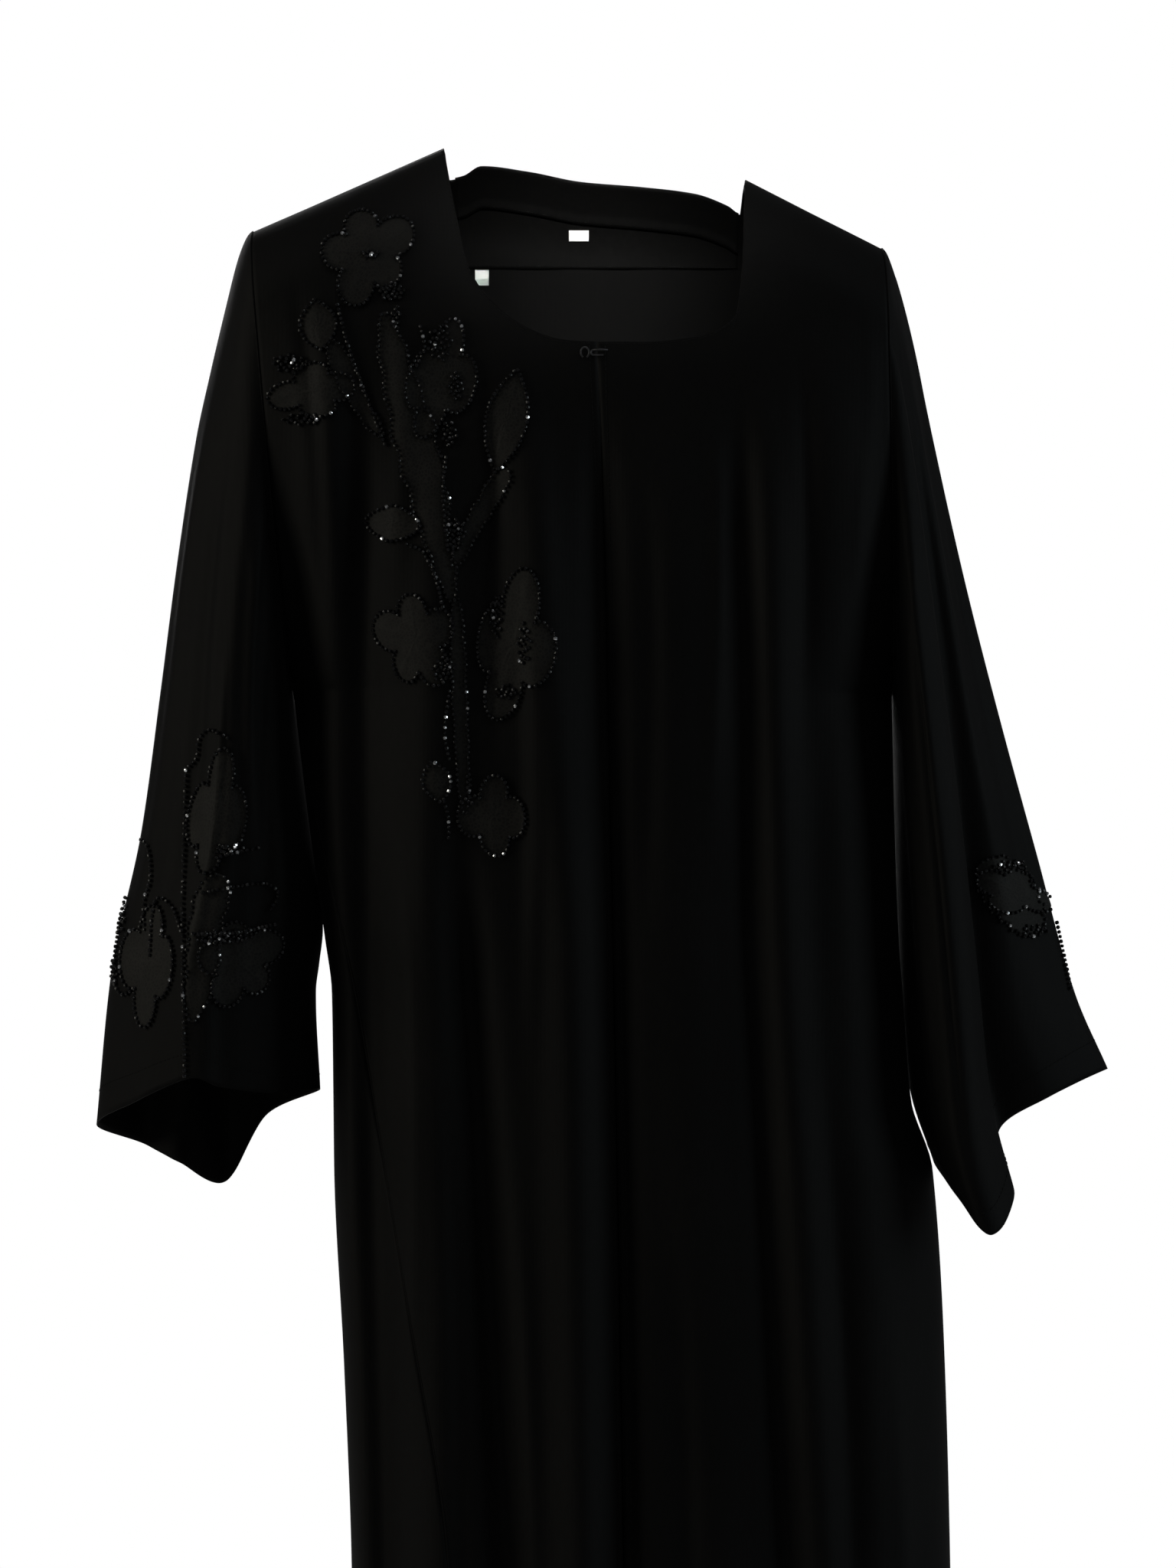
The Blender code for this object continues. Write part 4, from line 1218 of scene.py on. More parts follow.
def stitch_frames(line, normals, length=2.6, gap=0.9, width=0.55, sink=0.1):
    """Stitches end to end along a line of points, in millimetres."""
    lengths = lengths_along(line)
    frames = []
    place = length
    while place < lengths[-1] - length:
        here, start, end = (np.array([np.interp(place + shift, lengths, line[:, k])
                                      for k in range(3)])
                            for shift in (0.0, -length / 2.0, length / 2.0))
        up = np.array([np.interp(place, lengths, normals[:, k]) for k in range(3)])
        along = (end - start) / max(1e-9, np.linalg.norm(end - start))
        side = np.cross(up, along)
        side /= max(1e-9, np.linalg.norm(side))
        up = np.cross(along, side)
        axes = np.stack([along * length, side * width, up * width])
        frames.append(((here + up * sink) * MM, axes * MM))
        place += length + gap
    return frames


def grid_normals(grid, outward):
    """Unit normals of a grid, turned to point the way asked."""
    down = np.gradient(grid, axis=0)
    across = np.gradient(grid, axis=1)
    normal = np.cross(down, across)
    normal /= np.maximum(np.sqrt((normal ** 2).sum(-1)), 1e-12)[..., None]
    turn = np.sign((normal * outward).sum(-1).mean())
    return normal * (turn or 1.0)


print("stitch faces:", len(STITCH_FACES))

# %% [markdown]
# ## The topstitching
# Topstitching runs round the neck, down both front edges, round both cuffs and along the
# hem. A line of it is one row or column of the panel's grid, lifted to the surface.

# %% Topstitching
FORWARD = np.array((0.0, -1.0, 0.0))
HALF_WALL = CLOTH_WALL / 2.0 / MM
HEM_STITCH = 18.0
CUFF_STITCH = 14.0
NECK_STITCHES = {"front_right": slice(PANEL_COLUMNS["front_right"] // 2 - 1, None),
                 "front_left": slice(0, PANEL_COLUMNS["front_left"] // 2 + 1)}


def surface_line(piece, pick, outward, lift):
    """A line of a piece's grid, lifted to the surface, and its normals; in millimetres."""
    grid = grids[piece] / MM
    out = grid_normals(grid, outward)[pick]
    return grid[pick] + out * lift, out


def near_row(piece, distance):
    """The row that lies this far above the hem, at the middle column."""
    grid = grids[piece] / MM
    middle = grid[:, grid.shape[1] // 3]
    steps = np.sqrt(((middle[1:] - middle[:-1]) ** 2).sum(1))[::-1]
    return len(middle) - 1 - int(np.searchsorted(np.cumsum(steps), distance)) - 1


def outward_of(piece):
    grid = grids[piece]
    if piece == "back":
        return -FORWARD
    if piece.startswith("sleeve"):
        return (grid - grid.mean(1, keepdims=True)) * np.array((1.0, 1.0, 0.0))
    return FORWARD


TOPSTITCH = [(piece, (2, columns)) for piece, columns in NECK_STITCHES.items()]
TOPSTITCH += [("front_right", (slice(2, None), -3)), ("front_left", (slice(2, None), 2))]
for piece, height in (("front_right", HEM_STITCH), ("front_left", HEM_STITCH), ("back", HEM_STITCH),
                      ("sleeve_right", CUFF_STITCH), ("sleeve_left", CUFF_STITCH)):
    TOPSTITCH.append((piece, (near_row(piece, height), slice(None))))
frames = []
for piece, pick in TOPSTITCH:
    frames += stitch_frames(*surface_line(piece, pick, outward_of(piece), HALF_WALL))
for trim in ("band", "facing"):
    frames += stitch_frames(*surface_line(trim, -2, FORWARD, TRIM_WALL / 2.0 / MM), 2.0, 0.8, 0.45)
take_place(joined("topstitching", STITCH, STITCH_FACES, frames, thread), "black_trim")
print("stitches:", len(frames))

# %% [markdown]
# ## The welts
# The shoulder, side and armhole seams are covered by a narrow welt, a thin tube that
# follows the edge where two pieces meet, so no slit shows between them.

# %% Welts
def tube(name, line, radius, finish, sides=8):
    """A round tube along a line of points, in metres."""
    curve = bpy.data.curves.new(name, "CURVE")
    curve.dimensions = "3D"
    curve.bevel_depth = radius
    curve.bevel_resolution = max(0, sides // 4 - 1)
    curve.use_fill_caps = True
    spline = curve.splines.new("POLY")
    spline.points.add(len(line) - 1)
    flat = np.concatenate([line, np.ones((len(line), 1))], 1)
    spline.points.foreach_set("co", flat.ravel())
    curve.materials.append(finish)
    return new_object(name, curve)


WELT = 0.0007
UNDERARM_ROW = YOKE_STEPS + min(range(len(body_heights())),
                                key=lambda i: abs(body_heights()[i] - UNDERARM_LEFT[1]))
WELTS = {
    "shoulder_welt_right": grids["front_right"][0, :PANEL_COLUMNS["front_right"] // 2 + 1],
    "shoulder_welt_left": grids["front_left"][0, PANEL_COLUMNS["front_left"] // 2:],
    "side_welt_right": grids["front_right"][UNDERARM_ROW:, 0],
    "side_welt_left": grids["front_left"][UNDERARM_ROW:, -1],
    "armhole_welt_right": np.concatenate([grids["sleeve_right"][0], grids["sleeve_right"][0][:1]]),
    "armhole_welt_left": np.concatenate([grids["sleeve_left"][0], grids["sleeve_left"][0][:1]]),
}
for name, line in WELTS.items():
    take_place(tube(name, line, WELT, crepe_black), "black_cloth")
print("welts:", len(WELTS))

# %% [markdown]
# ## The hook and its eye
# A small plated hook closes the neck: its bill reaches to an oval eye on the other
# front. Both are bent wire, so each is a smooth tube along a few points. The hook is a
# bar that turns back on itself, and the eye is most of an oval, open at the bottom.

# %% Hook and eye
HOOK_WIRE = 1.1
HOOK_TOP = -124.5
HOOK_LIFT = 2.2


def smooth_line(points, steps=6):
    """A finer line through points, as an open spline."""
    points = [np.array(point, float) for point in points]
    padded = [2 * points[0] - points[1]] + points + [2 * points[-1] - points[-2]]
    line = []
    for before, start, end, after in zip(padded, padded[1:], padded[2:], padded[3:]):
        for k in range(steps):
            t = k / steps
            line.append(spline_point(before, start, end, after, t))
    return np.array(line + [points[-1]])


def hook_lines():
    middle = seam_place(CENTRE_FRONT, HOOK_TOP)
    front = -depth_at(middle, HOOK_TOP - 6.0, -1) - HOOK_LIFT
    hook = [(middle + 7.0 - 9.0 * t, front - 1.6 * sin(pi * t), HOOK_TOP - 4.0)
            for t in (0.0, 0.2, 0.4, 0.6, 0.8, 1.0)]
    for k in range(1, 7):
        angle = pi * k / 6
        hook.append((middle - 2.0 - 1.6 * sin(angle), front,
                     HOOK_TOP - 4.0 - 1.6 * (1.0 - cos(angle))))
    hook += [(middle + 8.0 * t - 2.0, front, HOOK_TOP - 7.2) for t in (0.4, 0.8)]
    eye = []
    for k in range(11):
        angle = radians(-60.0 + 300.0 * k / 10)
        eye.append((middle - 7.5 + 2.6 * cos(angle), front + 0.4,
                    HOOK_TOP - 5.6 + 3.4 * sin(angle)))
    return smooth_line(hook), smooth_line(eye)


hook_line, eye_line = hook_lines()
for node, line in (("neck_hook", hook_line), ("neck_eye", eye_line)):
    wire = tube(node + "_wire", line * MM, HOOK_WIRE / 2 * MM, plated, 16)
    take_place(wire, "dark_metal", node)
print("hook, mm of wire:", round(float(lengths_along(hook_line)[-1]), 1))

# %% [markdown]
# ## Laying things on the cloth
# The lace and the beads lie on the fronts and cuffs. Each place is first drawn flat, as
# distance across and height, and a ray from the front finds the cloth behind it. The
# ray's hit gives the surface and its slope, so a flower bends over the folds exactly as
# the cloth does.

# %% Finding the cloth
def tree_of(piece):
    mesh = piece.data
    corners = np.zeros(len(mesh.vertices) * 3)
    mesh.vertices.foreach_get("co", corners)
    polygons = [tuple(face.vertices) for face in mesh.polygons]
    return BVHTree.FromPolygons(corners.reshape(-1, 3).tolist(), polygons)


GROUND = {name: tree_of(cloth[name]) for name in ("front_right", "sleeve_right", "sleeve_left")}


def on_cloth(piece, x, z, lift):
    """A point lifted off the front of a cloth piece, and the way out of it; sizes in mm."""
    hit, normal, _, _ = GROUND[piece].ray_cast(Vector((x * MM, -0.5, z * MM)),
                                               Vector((0.0, 1.0, 0.0)))
    if hit is None:
        return None, None
    if normal.y > 0.0:
        normal = -normal
    return np.array(hit + normal * (HALF_WALL + lift) * MM), np.array(normal)


print("cloth to lay things on:", sorted(GROUND))

# %% [markdown]
# ## The lace flowers and leaves
# Each motif is cut from beaded lace and sewn on by its edge. A flower's rim swings out
# in round petals with a sharp notch between them, and a slow wave makes no two petals
# alike. A plain leaf or bud is two bows that meet in a point at each end. All of it is
# drawn with these few functions. The kind, place and size follow the photograph, and
# the drawing is new. Four of the motifs have no construction node and are only made here.

# %% Motif table
Motif = namedtuple("Motif", "name piece x z half_width half_height turn petals phase node")
MOTIFS = [
    Motif("shoulder_flower", "front_right", -147.0, -66.0, 31.0, 34.0, 14.0, 5, 0.4, True),
    Motif("bud", "front_right", -178.0, -112.0, 11.5, 16.0, 8.0, 0, 1.1, True),
    Motif("wing_leaf", "front_right", -181.0, -154.0, 27.0, 20.0, 10.0, 4, 2.0, True),
    Motif("jagged_leaf", "front_right", -100.0, -148.0, 21.0, 44.0, -14.0, 4, 0.9, True),
    Motif("spear_leaf", "front_right", -58.0, -174.0, 13.0, 33.0, -12.0, 0, 0.2, True),
    Motif("side_leaf", "front_right", -130.0, -239.0, 17.0, 11.5, -8.0, 0, 1.7, False),
    Motif("small_flower", "front_right", -115.0, -313.0, 25.0, 34.0, 6.0, 5, 2.6, True),
    Motif("twin_leaf", "front_right", -53.0, -317.0, 27.0, 49.0, -14.0, 4, 3.4, True),
    Motif("low_bud", "front_right", -102.0, -403.0, 8.5, 13.0, 12.0, 0, 0.6, False),
    Motif("waist_flower", "front_right", -66.0, -425.0, 21.0, 29.0, 0.0, 4, 1.9, True),
    Motif("cuff_tall_leaf", "sleeve_right", -243.0, -424.0, 18.0, 46.0, -8.0, 4, 1.2, False),
    Motif("cuff_flower", "sleeve_right", -229.0, -518.0, 27.0, 29.0, 10.0, 5, 0.3, True),
    Motif("cuff_fan", "sleeve_right", -288.0, -520.0, 18.0, 44.0, -6.0, 4, 2.2, False),
    Motif("cuff_leaf", "sleeve_left", 270.0, -474.0, 27.0, 17.0, -24.0, 4, 0.7, True),
]
print("motifs:", len(MOTIFS), "with a node:", sum(motif.node for motif in MOTIFS))

# %% Lace motifs
RIM_POINTS = 120
RING_SHARES = (0.12, 0.24, 0.36, 0.48, 0.60, 0.72, 0.82, 0.91, 0.97, 1.0)
PETAL_BASE = 0.60
LACE_WALL = 0.0004
LACE_LIFT = 0.45
VEIN_HEIGHT = 0.30


def reach_at(motif, angle):
    """How far the rim reaches at an angle, as a share of the half size."""
    if motif.petals == 0:
        return 2.0 / (abs(cos(angle)) + sqrt(cos(angle) ** 2 + 4.0 * sin(angle) ** 2))
    lobe = abs(cos(motif.petals * (angle - pi / 2.0) / 2.0)) ** 0.75
    wave = 0.09 * sin(2.0 * angle + motif.phase) + 0.06 * sin(3.0 * angle + 2.3 * motif.phase)
    return (PETAL_BASE + (1.0 - PETAL_BASE) * lobe) * (0.94 + wave)


def motif_place(motif, share, angle):
    reach = reach_at(motif, angle) * share
    across = motif.half_width * reach * cos(angle)
    up = motif.half_height * reach * sin(angle)
    turn = radians(motif.turn)
    return (motif.x + across * cos(turn) - up * sin(turn),
            motif.z + across * sin(turn) + up * cos(turn))


def motif_lift(motif, share, angle):
    vein = VEIN_HEIGHT * max(0.0, cos((motif.petals or 2) * (angle - pi / 2.0))) ** 8 * share
    return LACE_LIFT + vein + 0.25 * (1.0 - share) ** 2 + 0.08 * sin(40.0 * share + 7.0 * angle)


def lace_mesh(name, points, faces, node=None):
    piece = mesh_piece(name, [tuple(point) for point in points], faces, lace)
    thicken(piece, LACE_WALL)
    return take_place(piece, "lace", *([node] if node else []))


def outline_area(outline):
    """Flat area inside a closed outline, in square metres."""
    turns = (start[0] * end[1] - end[0] * start[1]
             for start, end in zip(outline, outline[1:] + outline[:1]))
    return abs(sum(turns)) / 2.0 * MM * MM


def motif_rim(motif, share=1.0):
    return [motif_place(motif, share, 2.0 * pi * k / RIM_POINTS) for k in range(RIM_POINTS)]


def lace_piece(motif):
    centre, _ = on_cloth(motif.piece, motif.x, motif.z, 0.7)
    points = [centre]
    for share in RING_SHARES:
        for k, (x, z) in enumerate(motif_rim(motif, share)):
            lift = motif_lift(motif, share, 2.0 * pi * k / RIM_POINTS)
            point, _ = on_cloth(motif.piece, x, z, lift)
            points.append(point if point is not None else points[-1])
    faces = [(0, 1 + k, 1 + (k + 1) % RIM_POINTS) for k in range(RIM_POINTS)]
    for r in range(len(RING_SHARES) - 1):
        first = 1 + r * RIM_POINTS
        for k in range(RIM_POINTS):
            after = (k + 1) % RIM_POINTS
            faces.append((first + k, first + RIM_POINTS + k,
                          first + RIM_POINTS + after, first + after))
    node = "applique_" + motif.name if motif.node else None
    return lace_mesh("lace_" + motif.name, points, faces, node)


for motif in MOTIFS:
    lace_piece(motif)
print("lace motifs:", len(MOTIFS))

# %% [markdown]
# ## The stalks
# Broad stalks of the same lace join the flowers. Each is a ribbon along a short path
# whose half width is given at every point, laid on the cloth like the motifs, a little
# lower so that it passes under them. Its two long edges are also where beads run.

# %% Lace stalks
Stalk = namedtuple("Stalk", "name piece points")
STALKS = [
    Stalk("main", "front_right", [(-136.0, -104.0, 7.0), (-128.0, -140.0, 9.0), (-116.0, -184.0, 13.0),
                                  (-106.0, -226.0, 11.0), (-98.0, -262.0, 7.0), (-92.0, -290.0, 4.5)]),
    Stalk("wing", "front_right", [(-170.0, -122.0, 4.5), (-161.0, -142.0, 7.0), (-150.0, -164.0, 5.0),
                                  (-136.0, -184.0, 4.0)]),
    Stalk("spear", "front_right", [(-57.0, -204.0, 7.5), (-70.0, -226.0, 6.0), (-82.0, -246.0, 5.0),
                                   (-92.0, -268.0, 4.0)]),
    Stalk("waist", "front_right", [(-90.0, -286.0, 4.0), (-88.0, -340.0, 4.5), (-86.0, -384.0, 4.0),
                                   (-84.0, -424.0, 3.5)]),
    Stalk("cuff", "sleeve_right", [(-240.0, -462.0, 9.0), (-248.0, -488.0, 10.0), (-252.0, -520.0, 9.0),
                                   (-258.0, -556.0, 6.0)]),
    Stalk("cuff_band", "sleeve_left", [(247.0, -457.0, 9.0), (258.0, -465.0, 14.0),
                                       (269.0, -477.0, 16.0), (279.0, -491.0, 13.0),
                                       (286.0, -504.0, 7.0)]),
]
STALK_COLUMNS = 13
STALK_TAPER = 0.12
STALK_EDGES = {}


def lace_stalk(stalk):
    line = smooth_line([(x, 0.0, z) for x, z, _ in stalk.points], 12)
    halves = smooth_line([(half, 0.0, 0.0) for _, _, half in stalk.points], 12)[:, 0]
    along = np.gradient(line, axis=0)
    side = np.stack([along[:, 2], np.zeros(len(line)), -along[:, 0]], 1)
    side /= np.sqrt((side ** 2).sum(1))[:, None]
    ripple = 1.0 + 0.10 * np.sin(np.arange(len(line)) * 0.9)
    share = np.linspace(0.0, 1.0, len(line))
    ripple *= np.sqrt(np.clip(np.minimum(share, 1.0 - share) / STALK_TAPER, 0.02, 1.0))
    points = []
    for spot, out, half in zip(line, side, halves * ripple):
        for k in range(STALK_COLUMNS):
            away = 2.0 * k / (STALK_COLUMNS - 1) - 1.0
            place = spot + out * half * away
            point, _ = on_cloth(stalk.piece, place[0], place[2], 0.35 - 0.1 * away * away)
            points.append(point if point is not None else points[-1])
    faces = []
    for r in range(len(line) - 1):
        for k in range(STALK_COLUMNS - 1):
            first = r * STALK_COLUMNS + k
            faces.append((first, first + 1, first + STALK_COLUMNS + 1, first + STALK_COLUMNS))
    reach = (halves * ripple * 1.02)[:, None]
    edges = [(line + side * reach)[:, (0, 2)], (line - side * reach)[:, (0, 2)]]
    STALK_EDGES[stalk.name] = (stalk.piece, edges)
    outline = [tuple(spot) for spot in edges[0]] + [tuple(spot) for spot in edges[1][::-1]]
    return lace_mesh("lace_stalk_" + stalk.name, points, faces), outline_area(outline)


stalk_pieces = {stalk.name: lace_stalk(stalk) for stalk in STALKS}
print("stalks:", len(stalk_pieces))

# %% [markdown]
# ## The beads
# Black glass beads of two to three millimetres outline every motif and run along the
# edges of the stalks. Each bead is a low faceted drum, squeezed along its thread, and
# every one has its own small turn and size, from a fixed seed. Small heaps of beads
# fill the hearts of the flowers and the tips of the leaves. About one bead in twenty
# is silver-lined, and these are the white sparks of the photograph.

# %% Bead tables
Row = namedtuple("Row", "piece points spacing size")
ROWS = [
    Row("front_right", [(-166.0, -98.0), (-158.0, -128.0), (-146.0, -160.0), (-134.0, -190.0)], 3.0, 2.7),
    Row("front_right", [(-113.0, -112.0), (-110.0, -128.0), (-116.0, -140.0)], 3.0, 2.7),
    Row("front_right", [(-96.0, -196.0), (-98.0, -222.0), (-95.0, -258.0)], 3.0, 2.8),
    Row("front_right", [(-122.0, -252.0), (-110.0, -258.0), (-102.0, -276.0), (-98.0, -294.0)], 3.0, 2.7),
    Row("front_right", [(-94.0, -344.0), (-97.0, -372.0), (-94.0, -390.0)], 3.3, 2.6),
    Row("front_right", [(-98.0, -414.0), (-95.0, -426.0), (-95.0, -440.0)], 3.2, 2.5),
    Row("front_right", [(-83.0, -398.0), (-82.0, -410.0), (-79.0, -418.0)], 3.2, 2.6),
    Row("sleeve_right", [(-263.0, -394.0), (-264.0, -430.0), (-264.0, -480.0), (-263.0, -520.0),
                         (-262.0, -592.0)], 3.4, 2.6),
    Row("sleeve_right", [(-265.0, -396.0), (-256.0, -388.0), (-254.0, -376.0), (-246.0, -370.0),
                         (-234.0, -376.0)], 3.2, 2.6),
    Row("sleeve_right", [(-244.0, -452.0), (-230.0, -448.0), (-216.0, -445.0)], 2.9, 2.7),
    Row("sleeve_right", [(-252.0, -474.0), (-232.0, -470.0), (-214.0, -468.0), (-205.0, -474.0),
                         (-210.0, -486.0)], 2.9, 2.7),
    Row("sleeve_right", [(-258.0, -500.0), (-240.0, -500.0), (-224.0, -498.0), (-206.0, -494.0)], 2.6, 3.0),
    Row("sleeve_right", [(-256.0, -504.0), (-240.0, -505.0), (-226.0, -504.0)], 2.7, 2.8),
    Row("sleeve_right", [(-296.0, -440.0), (-289.0, -446.0), (-287.0, -466.0), (-291.0, -480.0),
                         (-290.0, -500.0)], 3.1, 2.6),
    Row("sleeve_right", [(-305.0, -446.0), (-307.0, -476.0), (-310.0, -500.0), (-312.0, -528.0),
                         (-307.0, -540.0), (-298.0, -538.0)], 3.0, 2.8),
    Row("sleeve_right", [(-286.0, -516.0), (-285.0, -492.0), (-281.0, -478.0), (-271.0, -484.0),
                         (-264.0, -500.0)], 3.0, 2.7),
    Row("sleeve_left", [(288.0, -446.0), (295.0, -474.0), (302.0, -506.0), (309.0, -540.0)], 3.1, 2.7),
]
Heap = namedtuple("Heap", "piece x z half_width half_height count")
HEAPS = [
    Heap("front_right", -145.0, -66.0, 6.0, 2.5, 11),
    Heap("front_right", -131.0, -91.0, 8.0, 6.0, 22),
    Heap("front_right", -128.0, -108.0, 3.0, 8.0, 13),
    Heap("front_right", -100.0, -124.0, 8.0, 12.0, 26),
    Heap("front_right", -90.0, -152.0, 5.0, 9.0, 20),
    Heap("front_right", -94.0, -182.0, 5.0, 8.0, 16),
    Heap("front_right", -196.0, -136.0, 12.0, 6.0, 24),
    Heap("front_right", -188.0, -172.0, 13.0, 4.0, 20),
    Heap("front_right", -90.0, -246.0, 6.0, 10.0, 24),
    Heap("front_right", -98.0, -332.0, 7.0, 8.0, 22),
    Heap("front_right", -64.0, -298.0, 4.5, 14.0, 26),
    Heap("front_right", -46.0, -316.0, 4.0, 14.0, 22),
    Heap("front_right", -58.0, -346.0, 7.0, 5.0, 14),
    Heap("sleeve_right", -308.0, -486.0, 4.0, 16.0, 34),
    Heap("sleeve_right", -312.0, -526.0, 3.0, 8.0, 16),
    Heap("sleeve_right", -234.0, -446.0, 11.0, 3.0, 16),
    Heap("sleeve_right", -238.0, -501.0, 15.0, 4.0, 30),
    Heap("sleeve_left", 268.0, -458.0, 12.0, 4.0, 18),
    Heap("sleeve_left", 284.0, -500.0, 10.0, 4.0, 16),
]
BEAD_SEED = 57
BRIGHT_SHARE = 0.05
print("bead rows and heaps:", len(ROWS), len(HEAPS))


# %% One bead
def bead_master():
    """A faceted drum: an eight-sided bead with two slanted shoulders."""
    rings = []
    for along, size in ((-0.42, 0.55), (-0.22, 0.95), (0.22, 0.95), (0.42, 0.55)):
        rings += [(along, 0.5 * size * cos(pi * k / 4.0), 0.5 * size * sin(pi * k / 4.0))
                  for k in range(8)]
    faces = []
    for r in range(3):
        for k in range(8):
            after = (k + 1) % 8
            faces.append([r * 8 + k, r * 8 + after, r * 8 + 8 + after, r * 8 + 8 + k])
    cap = ([0, 1, 2, 3], [0, 3, 4, 7], [4, 5, 6, 7])
    faces += [list(corners) for corners in cap]
    faces += [[24 + i for i in reversed(corners)] for corners in cap]
    return np.array(rings), np.array(faces)


BEAD, BEAD_FACES = bead_master()
BEAD_LIFT = 0.42
BEAD_SIZES = (0.84, 1.1)
BEAD_TILT = 0.10
chance = np.random.default_rng(BEAD_SEED)
bead_frames = {(piece, kind): [] for piece in GROUND for kind in ("jet", "bright")}


def lay_bead(piece, x, z, along, size):
    place, out = on_cloth(piece, x, z, 0.35 + size * BEAD_LIFT)
    if place is None:
        return
    size = size * float(chance.uniform(*BEAD_SIZES))
    run = np.array((along[0], 0.0, along[1]))
    run = run - out * float(np.dot(run, out)) + chance.normal(0.0, BEAD_TILT, 3)
    run /= max(1e-9, np.linalg.norm(run))
    side = np.cross(out, run)
    side /= max(1e-9, np.linalg.norm(side))
    roll = float(chance.uniform(0.0, pi))
    turned = side * cos(roll) + np.cross(run, side) * sin(roll)
    axes = np.stack([run * size, turned * size, np.cross(run, turned) * size]) * MM
    kind = "bright" if chance.uniform() < BRIGHT_SHARE else "jet"
    bead_frames[(piece, kind)].append((place, axes))


print("faces of one bead:", len(BEAD_FACES))

# %% [markdown]
# ## Rows and heaps of beads
# Beads run at even steps along the drawn rows, round the rim of every motif and along
# both edges of every stalk. A heap is laid on a spiral whose turn never repeats, which
# spreads the beads evenly without a pattern.

# %% Rows and heaps of beads
RIM_BEADS = (3.1, 2.6)
STALK_BEADS = (3.4, 2.4)
HEAP_BEAD = 2.6
GOLDEN_ANGLE = 2.39996


def bead_line(piece, line, spacing, size):
    """Beads at even steps along a flat line of points."""
    line = np.array(line, float)
    lengths = lengths_along(line)
    count = max(2, int(lengths[-1] / spacing))
    for k in range(count):
        place = lengths[-1] * (k + 0.5) / count
        x, z = (float(np.interp(place, lengths, line[:, i])) for i in (0, 1))
        ahead = [float(np.interp(place + 0.5, lengths, line[:, i])) for i in (0, 1)]
        lay_bead(piece, x, z, (ahead[0] - x, ahead[1] - z), size)


def bead_heap(heap):
    """Beads close together in an oval, on a spiral so that they hardly overlap."""
    for k in range(heap.count):
        share = sqrt((k + 0.5) / heap.count)
        angle = GOLDEN_ANGLE * k
        x = heap.x + heap.half_width * share * cos(angle)
        z = heap.z + heap.half_height * share * sin(angle)
        lay_bead(heap.piece, x, z, (-sin(angle), cos(angle)), HEAP_BEAD)


for row in ROWS:
    bead_line(row.piece, smooth_line(row.points, 8), row.spacing, row.size)
for motif in MOTIFS:
    rim = motif_rim(motif, 1.02)
    bead_line(motif.piece, rim + rim[:1], *RIM_BEADS)
for piece, edges in STALK_EDGES.values():
    for edge in edges:
        bead_line(piece, edge, *STALK_BEADS)
for heap in HEAPS:
    bead_heap(heap)
for (piece, kind), frames in bead_frames.items():
    if frames:
        finish = jet if kind == "jet" else bright
        beads = joined(f"{kind}_beads_{piece}", BEAD, BEAD_FACES, frames, finish, smooth=False)
        take_place(beads, "jet_bead")
        print(piece, kind, "beads:", len(frames))
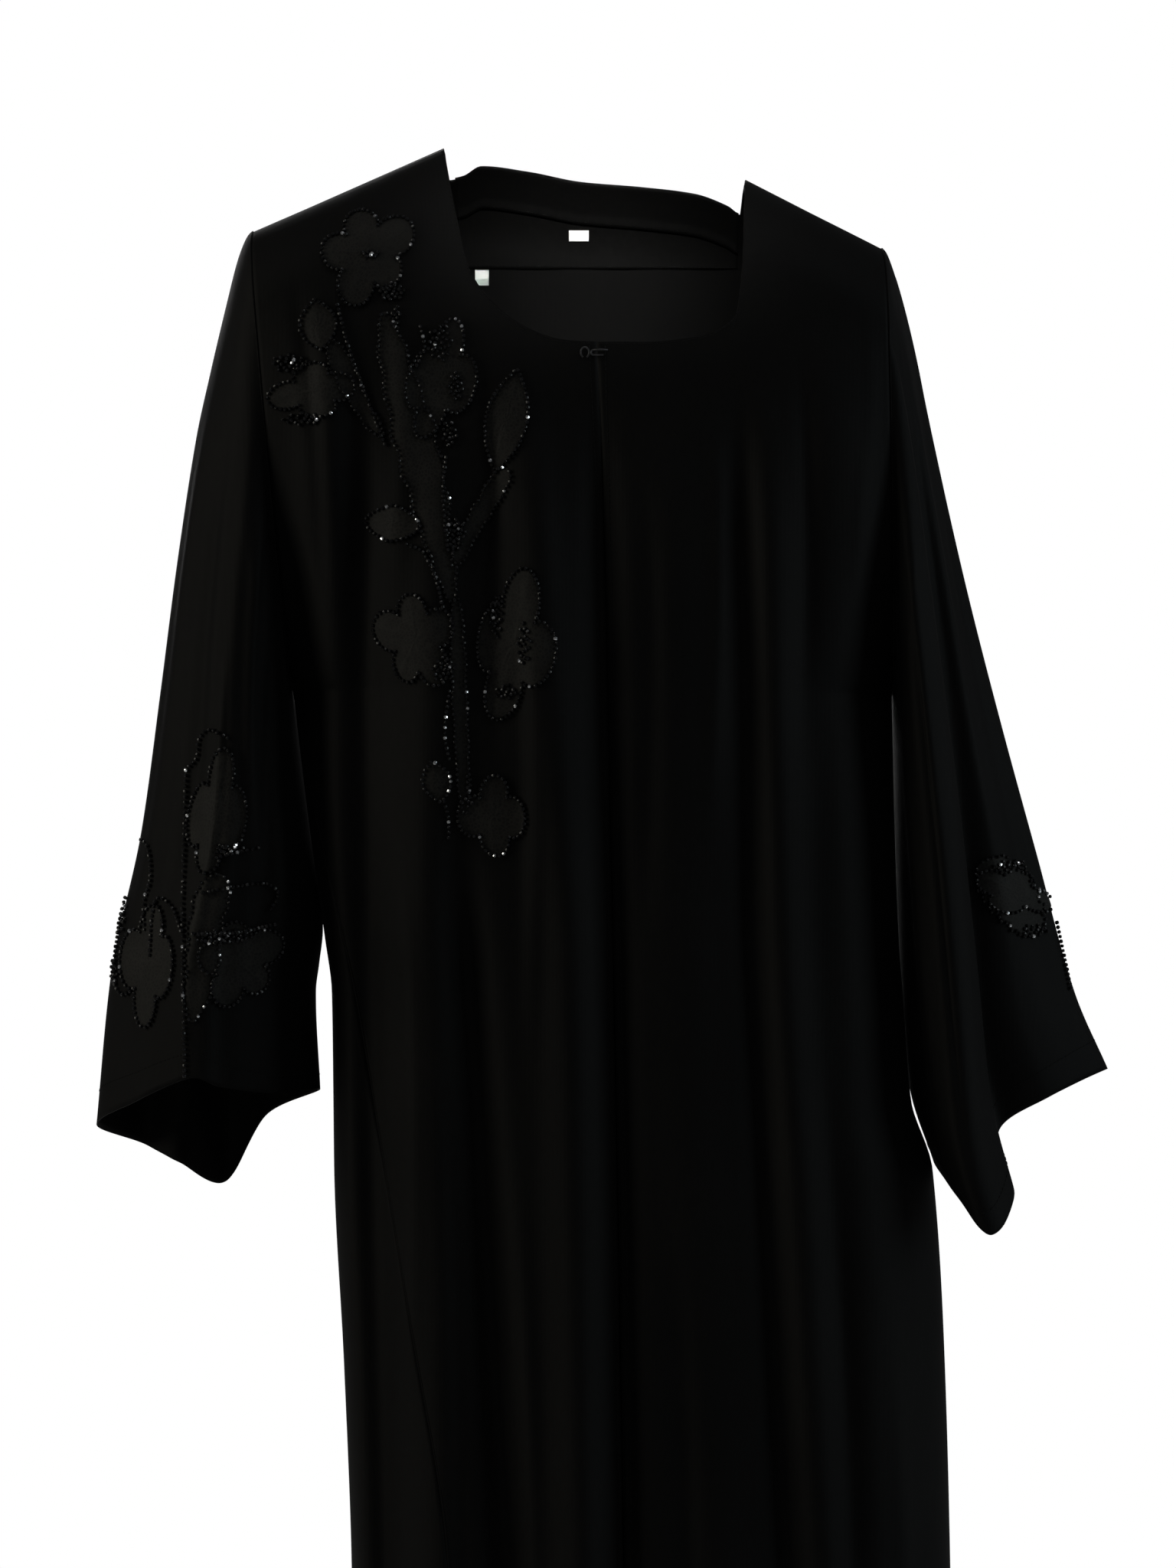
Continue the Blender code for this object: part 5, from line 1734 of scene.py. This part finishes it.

# %% [markdown]
# ## The flat cuts
# The flat cut of each panel and sleeve is drafted as a pattern cutter drafts it, from
# the outline widths, the depth that the cloth wraps round and a few hundredths for the
# folds: a row for each height, with the width of the flat cloth there. A sleeve has a
# cap above the underarm, taken as 0.64 of its box, and a straight part below. None of
# these sizes is measured on the finished mesh. The mesh is only measured beside them,
# so a wrong shape would show as a poor share. The two labels and the stalks get no
# cut; the labels and the waist stalk have a side under 10 mm.

# %% Flat cuts
Cut = namedtuple("Cut", "z width")
PANEL_CUTS = {
    "front_right": [Cut(10, 0), Cut(-45, 150), Cut(-123, 250), Cut(-250, 240), Cut(-343, 250),
                    Cut(-500, 190), Cut(-744, 145), Cut(-1400, 100)],
    "front_left": [Cut(-10, 0), Cut(-55, 115), Cut(-123, 230), Cut(-250, 220), Cut(-343, 230),
                   Cut(-500, 245), Cut(-744, 268), Cut(-1400, 285)],
    "back": [Cut(5, 220), Cut(-45, 430), Cut(-120, 450), Cut(-250, 450), Cut(-343, 470),
             Cut(-500, 520), Cut(-744, 590), Cut(-1400, 670)],
}
SleeveCut = namedtuple("SleeveCut", "underarm hem cap below length")
SLEEVE_CUTS = {
    "sleeve_right": SleeveCut(320, 426, 300, 262, 590),
    "sleeve_left": SleeveCut(280, 450, 300, 306, 600),
}
CAP_SHARE = 0.64


def panel_cut(rows):
    """Flat width, length and area of a panel, in metres."""
    area = sum((before.z - after.z) * (before.width + after.width) / 2.0
               for before, after in zip(rows, rows[1:]))
    widest = max(row.width for row in rows)
    return (widest * MM, (rows[0].z - rows[-1].z) * MM), area * MM * MM


def sleeve_cut(cut):
    area = CAP_SHARE * cut.underarm * cut.cap + (cut.underarm + cut.hem) / 2.0 * cut.below
    return (cut.hem * MM, cut.length * MM), area * MM * MM


cuts = {name: panel_cut(rows) for name, rows in PANEL_CUTS.items()}
cuts.update({name: sleeve_cut(cut) for name, cut in SLEEVE_CUTS.items()})
for name, (flat, area) in cuts.items():
    print(name, "cut, m2:", round(area, 3), "mesh over cut:", round(grid_area(grids[name]) / area, 2))
for motif in MOTIFS:
    outline_area(motif_rim(motif))
for stalk in STALKS:
    piece, area = stalk_pieces[stalk.name]

# %% [markdown]
# ## Sizes of the mesh
# The last cell counts the triangles of every piece as it is rendered, and prints the
# total and the four largest.

# %% Sizes
bpy.context.view_layer.update()


def triangle_counts():
    """Triangles of every piece as it is rendered, largest first."""
    ready = bpy.context.evaluated_depsgraph_get()
    counts = []
    for piece in bpy.data.objects:
        if piece.type in ("MESH", "CURVE") and not piece.hide_render:
            mesh = piece.evaluated_get(ready).to_mesh()
            counts.append((sum(len(face.vertices) - 2 for face in mesh.polygons), piece.name))
            piece.evaluated_get(ready).to_mesh_clear()
    return sorted(counts, reverse=True)


counts = triangle_counts()
print("triangles in all:", sum(count for count, _ in counts), "largest:", counts[:4])
